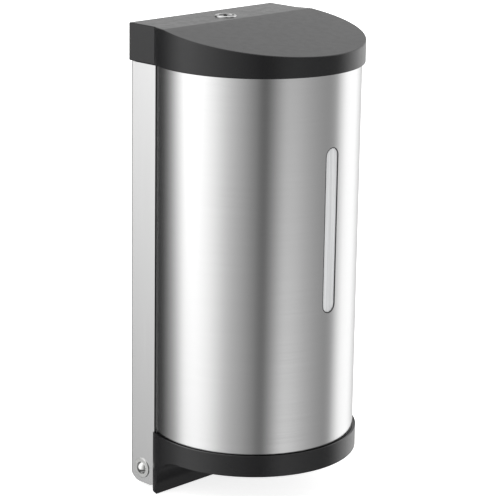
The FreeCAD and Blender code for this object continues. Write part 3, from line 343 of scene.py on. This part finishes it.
class Finish:
    """A procedural material over object coordinates, which are the frame's own metres."""

    def __init__(self, name, colour, roughness, metallic=0.0, **sockets):
        self.material = bpy.data.materials.new(name)
        self.material.use_nodes = True
        self.tree = self.material.node_tree
        self.shader = self.tree.nodes["Principled BSDF"]
        self.colour, self.roughness = colour, roughness
        self.set("Base Color", (*colour, 1))
        self.set("Roughness", roughness)
        self.set("Metallic", metallic)
        for key, value in sockets.items():
            self.set(key.replace("_", " "), value)
        self.coords = self.tree.nodes.new("ShaderNodeTexCoord").outputs["Object"]
        self.normal = None

    def set(self, key, value):
        self.shader.inputs[key].default_value = value

    def link(self, start, end):
        self.tree.links.new(start, end)

    def noise(self, scale, detail=3.0, rough=0.55, distortion=0.0):
        """Noise whose scale is features per metre, one number or one for each axis."""
        mapping = self.tree.nodes.new("ShaderNodeMapping")
        mapping.inputs["Scale"].default_value = scale if hasattr(scale, "__len__") else (scale,) * 3
        node = self.tree.nodes.new("ShaderNodeTexNoise")
        node.inputs["Scale"].default_value = 1.0
        node.inputs["Detail"].default_value = detail
        node.inputs["Roughness"].default_value = rough
        node.inputs["Distortion"].default_value = distortion
        self.link(self.coords, mapping.inputs["Vector"])
        self.link(mapping.outputs["Vector"], node.inputs["Vector"])
        return node.outputs["Fac"]

    def spread(self, factor, low, high, start=0.35, end=0.65):
        node = self.tree.nodes.new("ShaderNodeMapRange")
        for key, value in (("From Min", start), ("From Max", end), ("To Min", low), ("To Max", high)):
            node.inputs[key].default_value = value
        self.link(factor, node.inputs["Value"])
        return node.outputs["Result"]

    def tint(self, factor, other, start=0.35, end=0.65):
        """Varies the base colour towards another one."""
        node = self.tree.nodes.new("ShaderNodeMix")
        node.data_type = "RGBA"
        node.inputs["A"].default_value = (*self.colour, 1)
        node.inputs["B"].default_value = (*other, 1)
        self.link(self.spread(factor, 0, 1, start, end), node.inputs["Factor"])
        self.link(node.outputs["Result"], self.shader.inputs["Base Color"])
        return self

    def gloss(self, factor, low, high):
        self.link(self.spread(factor, low, high), self.shader.inputs["Roughness"])
        return self

    def bump(self, factor, height, strength=1.0):
        """Relief with the height in millimetres."""
        node = self.tree.nodes.new("ShaderNodeBump")
        node.inputs["Strength"].default_value = strength
        node.inputs["Distance"].default_value = height * MM
        self.link(factor, node.inputs["Height"])
        if self.normal is not None:
            self.link(self.normal, node.inputs["Normal"])
        self.normal = node.outputs["Normal"]
        self.link(self.normal, self.shader.inputs["Normal"])
        return self

    def brushed(self, axis="Z"):
        """Lies the grain around an axis, so that highlights spread along it."""
        node = self.tree.nodes.new("ShaderNodeTangent")
        node.direction_type = "RADIAL"
        node.axis = axis
        self.link(node.outputs["Tangent"], self.shader.inputs["Tangent"])
        return self


def moulded(name, colour, other, roughness, grain=1500, relief=0.0015, **sockets):
    """Moulded plastic: fine spark-eroded grain, faint flow marks and small changes of gloss."""
    finish = Finish(name, colour, roughness, **sockets)
    finish.tint(finish.noise(35, 4), other)
    finish.gloss(finish.noise(240, 3), roughness - 0.03, roughness + 0.04)
    finish.bump(finish.noise(grain, 2, 0.6), relief)
    return finish.material


def turned(name, colour, other, roughness, lines=(300, 300, 300), relief=0.003, **sockets):
    """Machined or plated metal with fine tool lines."""
    finish = Finish(name, colour, roughness, metallic=1.0, **sockets)
    finish.tint(finish.noise(120, 4), other)
    finish.gloss(finish.noise(lines, 3), roughness - 0.05, roughness + 0.07)
    finish.bump(finish.noise(lines, 3), relief)
    return finish.material


def brushed_steel(name, colour, other, roughness, spread, lines=(20, 20, 7000)):
    """Brushed sheet: hair-fine lines, with a few broader and deeper ones."""
    finish = Finish(name, colour, roughness, metallic=1.0, Anisotropic=spread)
    finish.set("Anisotropic Rotation", 0.25)
    fine = finish.noise(lines, 3, 0.7)
    broad = finish.noise([n / 5 for n in lines], 2, 0.6)
    finish.tint(fine, other)
    finish.gloss(broad, roughness - 0.015, roughness + 0.02)
    finish.bump(fine, 0.0001)
    return finish.brushed().material


UPRIGHT_GRAIN = {"spread": 0.3, "lines": (5000, 5000, 12)}


def make_materials():
    dull = {"Specular_IOR_Level": 0.34}
    smooth = {"relief": 0.0003}
    looks = (
        (moulded, "black_abs", (0.0085, 0.0085, 0.009), (0.0095, 0.0095, 0.010), 0.2, smooth | dull),
        (brushed_steel, "brushed_stainless", (0.63, 0.63, 0.63), (0.60, 0.60, 0.60), 0.17, {"spread": 0.6}),
        (brushed_steel, "plate_steel", (0.63, 0.63, 0.63), (0.60, 0.60, 0.60), 0.17, UPRIGHT_GRAIN),
        (moulded, "black_rubber", (0.012, 0.012, 0.012), (0.02, 0.02, 0.02), 0.6, {}),
        (moulded, "black_rail", (0.006, 0.006, 0.006), (0.009, 0.009, 0.009), 0.45, dull),
        (turned, "chrome", (0.80, 0.80, 0.81), (0.76, 0.76, 0.78), 0.09, {"relief": 0.0008}),
        (turned, "bezel_nickel", (0.56, 0.56, 0.56), (0.50, 0.50, 0.50), 0.12, {"relief": 0.0008}),
        (turned, "satin_nickel", (0.33, 0.33, 0.33), (0.27, 0.27, 0.27), 0.12, {"relief": 0.0008}),
        (turned, "zinc_steel", (0.55, 0.56, 0.55), (0.46, 0.46, 0.43), 0.32, {}),
        (turned, "stainless", (0.66, 0.66, 0.65), (0.60, 0.60, 0.59), 0.2, {}),
        (turned, "motor_steel", (0.52, 0.52, 0.50), (0.44, 0.44, 0.42), 0.36, {"lines": (60, 60, 900)}),
        (turned, "brass", (0.74, 0.52, 0.22), (0.66, 0.44, 0.17), 0.25, {}),
        (moulded, "nylon", (0.74, 0.72, 0.66), (0.68, 0.66, 0.59), 0.42, {}),
        (moulded, "grey_abs", (0.16, 0.165, 0.17), (0.13, 0.135, 0.14), 0.48, {}),
        (moulded, "blue_plastic", (0.02, 0.09, 0.26), (0.015, 0.07, 0.21), 0.36, {}),
        (moulded, "black_abs_inner", (0.018, 0.018, 0.02), (0.026, 0.026, 0.028), 0.48, {}),
        (moulded, "battery_label", (0.035, 0.035, 0.04), (0.05, 0.05, 0.055), 0.24, {}),
        (moulded, "board_green", (0.012, 0.09, 0.035), (0.01, 0.07, 0.03), 0.3, {}),
        (moulded, "chip_black", (0.02, 0.02, 0.02), (0.03, 0.03, 0.03), 0.5, {}),
        (moulded, "ir_plastic", (0.012, 0.004, 0.006), (0.016, 0.005, 0.008), 0.08, {"relief": 0.0005}),
        (moulded, "silicone", (0.62, 0.62, 0.58), (0.56, 0.56, 0.51), 0.4, {"relief": 0.002}),
    )
    made = {name: kind(name, *colours, gloss, **extra) for kind, name, *colours, gloss, extra in looks}
    lens = Finish("lens", (0.60, 0.605, 0.61), 0.2)
    lens.tint(lens.noise((1100, 1100, 9), 3, 0.6), (0.47, 0.475, 0.48), 0.42, 0.68)
    lens.gloss(lens.noise(150, 2), 0.14, 0.22)
    lens.bump(lens.noise((700, 700, 14), 2), 0.004)
    made["lens"] = lens.material
    tank = Finish("tank_plastic", (0.80, 0.82, 0.83), 0.33, Transmission_Weight=0.35, IOR=1.5)
    tank.tint(tank.noise(30, 3), (0.74, 0.76, 0.77))
    tank.gloss(tank.noise(180, 3), 0.28, 0.4)
    tank.bump(tank.noise(1400, 2), 0.004)
    made["tank_plastic"] = tank.material
    for name, colour, other in (
        ("clear_led", (0.80, 0.84, 0.92), (0.72, 0.76, 0.86)),
        ("clear_cover", (0.86, 0.88, 0.89), (0.80, 0.83, 0.84)),
    ):
        clear = Finish(name, colour, 0.07, Transmission_Weight=0.85, IOR=1.49)
        clear.tint(clear.noise(60, 3), other)
        clear.gloss(clear.noise(150, 3), 0.05, 0.11)
        clear.bump(clear.noise(500, 2), 0.001)
        made[name] = clear.material
    return made


MATERIALS = make_materials()
SLOTS = {part["node"]: part["material_slot"] for part in frame["record"]["subparts"]}
for node, item in frame["nodes"].items():
    item.data.materials.clear()
    item.data.materials.append(MATERIALS[SLOTS[node]])


# The front cover


def half_chord(radius, rear):
    return math.sqrt(radius**2 - (PLAN_CENTRE - rear) ** 2)


def slope_plane(lowered):
    """A point and the upward normal of the cap's sloping top."""
    depth = PLAN_CENTRE + PLAN_RADIUS
    return (0, -CREASE, HALF_HEIGHT - lowered), Vector((0, -FRONT_DROP, depth - CREASE)).normalized()


def shell_sector(name, outer, inner, rear, low, high, step=1.5):
    """A wall between two radii, open at the back."""
    outline = front_arc(outer, rear, step) + front_arc(inner, rear, step)[::-1]
    return prism(name, outline, low, high)


def make_cap():
    width = half_chord(PLAN_RADIUS, CAP_REAR)
    outline = front_arc(PLAN_RADIUS, CAP_REAR) + [(-width, 0), (width, 0)]
    cap = trim(prism("cap_shape", outline, CAP_BOTTOM, HALF_HEIGHT), *slope_plane(0))
    soften(cap, 0.7, 4)
    inside = TAB_HALF + TAB_GAP
    rear = PLAN_CENTRE - half_chord(INNER_RADIUS, PLAN_CENTRE - inside)
    outline = front_arc(INNER_RADIUS, rear) + [(-inside, 1), (inside, 1)]
    hollow = prism("cap_hollow", outline, CAP_BOTTOM - 1, HALF_HEIGHT - CAP_WALL)
    trim(hollow, *slope_plane(CAP_WALL))
    hole = rod("cap_hole", LOCK_SLEEVE, CAP_BOTTOM, HALF_HEIGHT + 1, (0, -LOCK_DEPTH, 0))
    cut(cap, hollow, hole)
    low, high = CAP_BOTTOM - LIP_HEIGHT, CAP_BOTTOM + 0.5
    fuse(cap, soften(shell_sector("cap_lip", LIP_RADIUS, INNER_RADIUS, LIP_REAR, low, high), 0.3))
    cap.name = "cap_moulding"
    build(cap, "front_cover", MATERIALS["black_abs"], ["cap"], sharp=20)


def make_steel_cover():
    inner = COVER_RADIUS - COVER_SHEET
    cover = shell_sector("steel_wrap", COVER_RADIUS, inner, COVER_REAR, BAND_TOP, CAP_BOTTOM, step=1.0)
    window = prism("window_cut", slot_outline(WINDOW_HALF, WINDOW_LOW, WINDOW_HIGH), -120, -PLAN_CENTRE, "Y")
    cut(cover, window)
    soften(cover, 0.2, 3)
    build(cover, "front_cover", MATERIALS["brushed_stainless"], ["steel_cover"])


def curved_slot(name, half_width, low, high, outer, inner):
    """An upright slot's outline carried through a curved wall."""
    wall = shell_sector(name, outer, inner, PLAN_CENTRE, low - 2, high + 2, step=0.5)
    outline = slot_outline(half_width, low, high)
    return common(wall, prism(f"{name}_slot", outline, -120, -PLAN_CENTRE - 5, "Y"))


def make_window():
    """The lens, sunk a little into the sheet, and the gasket that fills the cut around it."""
    opening = (WINDOW_HALF, WINDOW_LOW, WINDOW_HIGH)
    bare = (WINDOW_HALF - GASKET, WINDOW_LOW + GASKET, WINDOW_HIGH - GASKET)
    seat = (WINDOW_HALF + WINDOW_SEAT, WINDOW_LOW - WINDOW_SEAT, WINDOW_HIGH + WINDOW_SEAT)
    sheet_inside = COVER_RADIUS - COVER_SHEET
    lens = soften(curved_slot("lens_front", *bare, COVER_RADIUS - LENS_RECESS, SEAT_FRONT + 0.1), 0.25, 4)
    fuse(lens, curved_slot("lens_back", *seat, SEAT_FRONT, SEAT_BACK))
    lens.name = "window_lens"
    build(lens, "front_cover", MATERIALS["lens"], ["sight_window"])
    gasket = curved_slot("gasket_lip", *opening, COVER_RADIUS - 0.02, sheet_inside)
    fuse(gasket, curved_slot("gasket_seat", *seat, sheet_inside + 0.01, SEAT_FRONT))
    cut(gasket, prism("gasket_hole", slot_outline(*bare), -120, -60, "Y"))
    soften(gasket, 0.1, 2)
    gasket.name = "window_seal"
    build(gasket, "front_cover", MATERIALS["black_rubber"], ["window_gasket"])


def make_rails():
    inner = COVER_RADIUS - COVER_SHEET
    edge = half_chord(inner, COVER_REAR)
    far = half_chord(inner, RAIL_FRONT)
    lip = half_chord(COVER_RADIUS, COVER_REAR)
    across, back = RAIL_CHAMFER
    corners = [
        (RAIL_INNER, -FIN_REAR),
        (lip, -FIN_REAR),
        (lip, -COVER_REAR),
        (edge, -COVER_REAR),
        (far, -RAIL_FRONT),
        (RAIL_INNER + across, -RAIL_FRONT),
        (RAIL_INNER, back - RAIL_FRONT),
    ]
    for side, name in ((-1, "left"), (1, "right")):
        rail = prism(f"rail_{name}", [(side * x, y) for x, y in corners], BAND_TOP, CAP_BOTTOM)
        soften(rail, 0.2, 2)
        build(rail, "front_cover", MATERIALS["black_rail"], [f"side_rail_{name}"])


def make_base():
    base = prism("base_shape", front_arc(PLAN_RADIUS, FIN_REAR), -HALF_HEIGHT, BAND_TOP)
    far, beneath = -(PLAN_CENTRE + PLAN_RADIUS + 5), -HALF_HEIGHT - 5
    centre = (-FIN_FRONT - FIN_BLEND, BAND_BOTTOM - FIN_BLEND)
    profile = [(-FIN_FRONT, beneath)] + arc(centre, FIN_BLEND, 0, 90, 24)
    profile += [(far, BAND_BOTTOM), (far, beneath)]
    cut(base, prism("base_under", profile, -80, 80, "X"))
    soften(base, 0.3, 3)
    ring = arc((0, -PLAN_CENTRE), INNER_RADIUS, 0, 360, 240)[:-1]
    hollow = prism("base_hollow", ring, BAND_BOTTOM + FLOOR_SHEET, BAND_TOP + 5)
    half = PLATE_HALF + FIN_GAP
    relief = block("base_relief", (-half, -FIN_INNER, -200), (half, 5, 0))
    outlet = rod("outlet_hole", OUTLET_HOLE, -130, -100, (0, -OUTLET_DEPTH, 0))
    eye = block("eye_hole", (-EYE_HALF, -EYE_FRONT, -130), (EYE_HALF, -EYE_REAR, -100))
    outer, inner = COVER_RADIUS + GROOVE_WIDTH, COVER_RADIUS - 0.2
    low, high = BAND_TOP - GROOVE_DEPTH, BAND_TOP + 5
    groove = shell_sector("base_groove", outer, inner, COVER_REAR + 0.6, low, high)
    cut(base, hollow, relief, outlet, eye, groove)
    for side in (-1, 1):
        low, high = PIN_LEVEL - EAR_RADIUS, PIN_LEVEL + EAR_RADIUS
        outline = arc((-PIN_DEPTH, PIN_LEVEL), EAR_RADIUS, -90, 90, 32)
        outline += [(-FIN_INNER - 1, high), (-FIN_INNER - 1, low)]
        ends = sorted((side * EAR_INNER, side * (EAR_INNER + EAR_WIDTH)))
        ear = soften(prism("ear", outline, *ends, "X"), 0.3)
        cut(ear, rod("ear_hole", BUSH_RADIUS, ends[0] - 1, ends[1] + 1, (0, -PIN_DEPTH, PIN_LEVEL), "X"))
        fuse(base, ear)
    low, high = BAND_TOP - 0.5, BAND_TOP + LIP_HEIGHT
    fuse(base, soften(shell_sector("base_lip", LIP_RADIUS, INNER_RADIUS, LIP_REAR, low, high), 0.3))
    base.name = "base_moulding"
    build(base, "front_cover", MATERIALS["black_abs"], ["base"], sharp=30)


# The lock


def make_lock():
    centre = (0, -LOCK_DEPTH, 0)
    top, bore, rim = HALF_HEIGHT + BEZEL_HEIGHT, LOCK_PLUG + 0.05, LOCK_BEZEL - BEZEL_RIM
    profile = [(bore, SLEEVE_BOTTOM), (LOCK_SLEEVE, SLEEVE_BOTTOM), (LOCK_SLEEVE, HALF_HEIGHT)]
    profile += [(LOCK_BEZEL, HALF_HEIGHT)]
    profile += arc((LOCK_BEZEL - BEZEL_EDGE, top - BEZEL_EDGE), BEZEL_EDGE, 0, 90, 10)
    profile += [(rim + 0.1, top), (rim, top - 0.1), (rim, top - BEZEL_SINK), (bore, top - BEZEL_SINK)]
    housing = lathe("lock_bezel", profile, centre, segments=96)
    build(housing, "front_cover", MATERIALS["bezel_nickel"], ["lock_housing"])
    face = HALF_HEIGHT + PLUG_RISE
    profile = [(0, PLUG_BOTTOM), (LOCK_PLUG, PLUG_BOTTOM)]
    profile += arc((LOCK_PLUG - PLUG_EDGE, face - PLUG_EDGE), PLUG_EDGE, 0, 90, 5)
    profile += [(2.9, face), (2.75, face - 0.15), (0, face - 0.15)]
    plug = lathe("lock_barrel", profile, centre, segments=96)
    key = block("key_slot", (-KEY_HALF, -KEY_GAP, face - KEY_DEPTH), (KEY_HALF, KEY_GAP, face + 2))
    soften(key, 0.2)
    key.data.transform(Matrix.Translation(centre) @ Matrix.Rotation(math.radians(KEY_TURN), 4, "Z"))
    cut(plug, key)
    build(plug, "lock_rotor", MATERIALS["satin_nickel"], ["lock_plug"])


# The wall plate and the hinge


def make_wall_plate():
    outer, inner = PLATE_HALF, PLATE_HALF - PLATE_SHEET
    bend, fold = PLATE_BEND, PLATE_BEND - PLATE_SHEET
    section = [(-outer, -PLATE_DEPTH), (-inner, -PLATE_DEPTH)]
    section += arc((-inner + fold, -PLATE_SHEET - fold), fold, 180, 90, 4)
    section += arc((inner - fold, -PLATE_SHEET - fold), fold, 90, 0, 4)
    section += [(inner, -PLATE_DEPTH), (outer, -PLATE_DEPTH)]
    section += arc((outer - bend, -bend), bend, 0, 90, 12) + arc((-outer + bend, -bend), bend, 90, 180, 12)
    plate = prism("plate", section, PLATE_BOTTOM, PLATE_TOP)
    rear, front = REAR_CORNER, FRONT_CORNER
    side = arc((-PLATE_DEPTH + front, PLATE_BOTTOM + front), front, 180, 270, 12)
    side += arc((-rear, PLATE_BOTTOM + rear), rear, 270, 360, 24)
    beyond = -PLATE_DEPTH - 0.5
    side += [(0.5, PLATE_TOP + 1), (beyond, PLATE_TOP + 1), (beyond, PLATE_BOTTOM + front)]
    common(plate, prism("plate_side", side, -80, 80, "X"))
    for end in (-1, 1):
        left, right = sorted((end * TAB_HALF, end * (outer + 5)))
        cut(plate, block("shoulder", (left, -40, FLANGE_TOP), (right, 5, PLATE_TOP + 5)))
    for reach, levels, radius in (WALL_SCREWS, CHASSIS_SCREWS):
        for spot in [(x, z) for x in (-reach, reach) for z in levels]:
            cut(plate, prism("plate_hole", arc(spot, radius, 0, 360, 48)[:-1], -5, 5, "Y"))
    cut(plate, rod("pin_hole", PIN_RADIUS, -80, 80, (0, -PIN_DEPTH, PIN_LEVEL), "X"))
    soften(plate, 0.22, 3)
    plate.name = "wall_channel"
    build(plate, "wall_unit", MATERIALS["plate_steel"], ["wall_plate"])


def make_pins():
    centre = (0, -PIN_DEPTH, PIN_LEVEL)
    inner_end, face = EAR_INNER - PIN_REACH, PLATE_HALF + WASHER_SHEET
    curve = (PIN_HEAD**2 + PIN_HEAD_HEIGHT**2) / (2 * PIN_HEAD_HEIGHT)
    spread = math.degrees(math.asin(PIN_HEAD / curve))
    dome = [(h, r) for r, h in arc((face + PIN_HEAD_HEIGHT - curve, 0), curve, spread, 0, 14)]
    shank = [(0, inner_end), (PIN_RADIUS - 0.3, inner_end), (PIN_RADIUS, inner_end + 0.3), (PIN_RADIUS, face)]
    edge = arc((WASHER_RADIUS - WASHER_EDGE, face - WASHER_EDGE), WASHER_EDGE, 0, 90, 4)
    ring = [(PIN_RADIUS, PLATE_HALF), (WASHER_RADIUS, PLATE_HALF), *edge, (PIN_RADIUS, face)]
    washers = []
    for side, name in ((-1, "left"), (1, "right")):
        profile = [(r, side * h) for r, h in [*shank, (PIN_HEAD, face), *dome]]
        pin = lathe(f"pin_{name}", profile, centre, "X")
        build(pin, "wall_unit", MATERIALS["stainless"], [f"hinge_pin_{name}"])
        washers.append(lathe("washer", [(r, side * h) for r, h in ring], centre, "X"))
    build(join("washers", *washers), "wall_unit", MATERIALS["stainless"], ["hinge_washers"])


make_cap()
make_steel_cover()
make_window()
make_rails()
make_base()
make_lock()
make_wall_plate()
make_pins()


# The studio

# the camera looks at the target from this distance; its angles are in degrees
TARGET = (-14.5, -55.5, 9.5)
DISTANCE = 1263.1
AZIMUTH = -45.44
ELEVATION = 15.13
ROLL = 0.87
LENS = 157.1

# the light around the object by heading, in degrees from the front, -90 to the viewer's left:
# (heading, brightness well below eye level, brightness above it)
AROUND = (
    (-180, 0.04, 0.04),
    (-164, 0.07, 0.16),
    (-151, 0.34, 0.68),
    (-139, 0.22, 2.05),
    (-127, 1.40, 3.00),
    (-109, 1.90, 2.45),
    (-91, 1.50, 1.80),
    (-75, 0.80, 1.20),
    (-59, 0.67, 0.72),
    (-45, 0.44, 0.36),
    (-37, 0.31, 0.14),
    (-31, 0.33, 0.20),
    (-20, 1.07, 0.50),
    (-9, 1.62, 0.64),
    (12, 1.02, 0.58),
    (38, 0.46, 0.46),
    (51, 0.48, 0.64),
    (60, 1.05, 1.40),
    (71, 1.80, 2.10),
    (92, 1.85, 2.15),
    (106, 1.25, 1.40),
    (118, 0.85, 0.93),
    (150, 0.80, 0.88),
    (180, 0.50, 0.50),
)
LOW, HIGH = -0.44, -0.08
# other brightnesses, with the heights of direction over which each one takes over
OVERHEAD = (1.9, 0.70, 0.92)
GLOOM = (0.15, -0.42, -0.56)
GLOW = (0.7, -0.78, -0.86)
UNDERFOOT = (0.03, -0.90, -0.97)
BACKDROP = 1.3

FLOOR_RADIUS = 6000.0
FLOOR_GAP = 0.3


def set_camera():
    azimuth, elevation, roll = (math.radians(a) for a in (AZIMUTH, ELEVATION, ROLL))
    along = Vector((math.sin(azimuth), -math.cos(azimuth), 0))
    back = math.cos(elevation) * along + Vector((0, 0, math.sin(elevation)))
    level = (-back).cross(Vector((0, 0, 1))).normalized()
    upright = level.cross(-back)
    right = math.cos(roll) * level + math.sin(roll) * upright
    up = -math.sin(roll) * level + math.cos(roll) * upright
    data = bpy.data.cameras.new("camera")
    data.lens = LENS
    data.sensor_width = 36.0
    data.clip_start, data.clip_end = 0.05, 50.0
    camera = bpy.data.objects.new("camera", data)
    bpy.context.scene.collection.objects.link(camera)
    turn = Matrix((right, up, back)).transposed().to_4x4()
    camera.matrix_world = Matrix.Translation((Vector(TARGET) + back * DISTANCE) * MM) @ turn
    bpy.context.scene.camera = camera


def set_world():
    """Soft light that changes with heading, as from tall soft boxes, under a broad overhead one."""
    world = bpy.data.worlds.new("studio")
    bpy.context.scene.world = world
    world.use_nodes = True
    tree = world.node_tree
    tree.nodes.clear()

    def node(kind, **settings):
        made = tree.nodes.new(kind)
        for key, value in settings.items():
            setattr(made, key, value)
        return made

    def maths(operation, *values):
        made = node("ShaderNodeMath", operation=operation)
        for i, value in enumerate(values):
            if isinstance(value, (int, float)):
                made.inputs[i].default_value = value
            else:
                tree.links.new(value, made.inputs[i])
        return made.outputs[0]

    direction = node("ShaderNodeSeparateXYZ")
    tree.links.new(node("ShaderNodeTexCoord").outputs["Generated"], direction.inputs[0])
    x, y, z = direction.outputs
    heading = maths("ARCTAN2", x, maths("MULTIPLY", y, -1.0))
    share = maths("ADD", maths("DIVIDE", heading, 2 * math.pi), 0.5)

    def ring(column):
        """The brightness by heading, from one column of AROUND."""
        ramp = node("ShaderNodeValToRGB")
        scale = max(row[column] for row in AROUND)
        elements = ramp.color_ramp.elements
        ramp.color_ramp.interpolation = "B_SPLINE"
        while len(elements) < len(AROUND):
            elements.new(0.5)
        for element, row in zip(elements, AROUND):
            element.position = (row[0] + 180) / 360
            element.color = (row[column] / scale,) * 3 + (1,)
        tree.links.new(share, ramp.inputs["Fac"])
        return maths("MULTIPLY", ramp.outputs["Color"], scale)

    rise = node("ShaderNodeMapRange")
    rise.inputs["From Min"].default_value = LOW
    rise.inputs["From Max"].default_value = HIGH
    tree.links.new(z, rise.inputs["Value"])
    level = node("ShaderNodeMix", data_type="FLOAT")
    tree.links.new(rise.outputs["Result"], level.inputs["Factor"])
    tree.links.new(ring(1), level.inputs["A"])
    tree.links.new(ring(2), level.inputs["B"])

    def towards(before, brightness, start, end):
        """Blends into one brightness as the direction's height goes from start to end."""
        amount = node("ShaderNodeMapRange", interpolation_type="SMOOTHSTEP")
        amount.inputs["From Min"].default_value = start
        amount.inputs["From Max"].default_value = end
        tree.links.new(z, amount.inputs["Value"])
        blend = node("ShaderNodeMix", data_type="FLOAT")
        tree.links.new(amount.outputs["Result"], blend.inputs["Factor"])
        tree.links.new(before, blend.inputs["A"])
        blend.inputs["B"].default_value = brightness
        return blend.outputs["Result"]

    light = node("ShaderNodeBackground")
    lit = level.outputs["Result"]
    for region in (OVERHEAD, GLOOM, GLOW, UNDERFOOT):
        lit = towards(lit, *region)
    tree.links.new(lit, light.inputs["Strength"])
    plain = node("ShaderNodeBackground")
    plain.inputs["Strength"].default_value = BACKDROP
    seen = node("ShaderNodeMixShader")
    tree.links.new(node("ShaderNodeLightPath").outputs["Is Camera Ray"], seen.inputs["Fac"])
    tree.links.new(light.outputs["Background"], seen.inputs[1])
    tree.links.new(plain.outputs["Background"], seen.inputs[2])
    out = node("ShaderNodeOutputWorld")
    tree.links.new(seen.outputs["Shader"], out.inputs["Surface"])


def set_floor():
    """A plain pale floor under the object."""
    bm = bmesh.new()
    level = -HALF_HEIGHT - FLOOR_GAP
    bm.faces.new([bm.verts.new((x, y, level)) for x, y in arc((0, 0), FLOOR_RADIUS, 0, 360, 96)[:-1]])
    floor = as_mesh("floor", bm)
    floor.data.transform(Matrix.Scale(MM, 4))
    finish = Finish("floor_paint", (0.93, 0.93, 0.93), 0.9)
    finish.set("Emission Color", (1, 1, 1, 1))
    finish.set("Emission Strength", 0.8)
    finish.tint(finish.noise(3, 2), (0.92, 0.92, 0.92))
    floor.data.materials.append(finish.material)
    floor.visible_glossy = False


scene = bpy.context.scene
scene.view_settings.view_transform = "Standard"
scene.view_settings.look = "None"
set_camera()
set_world()
set_floor()
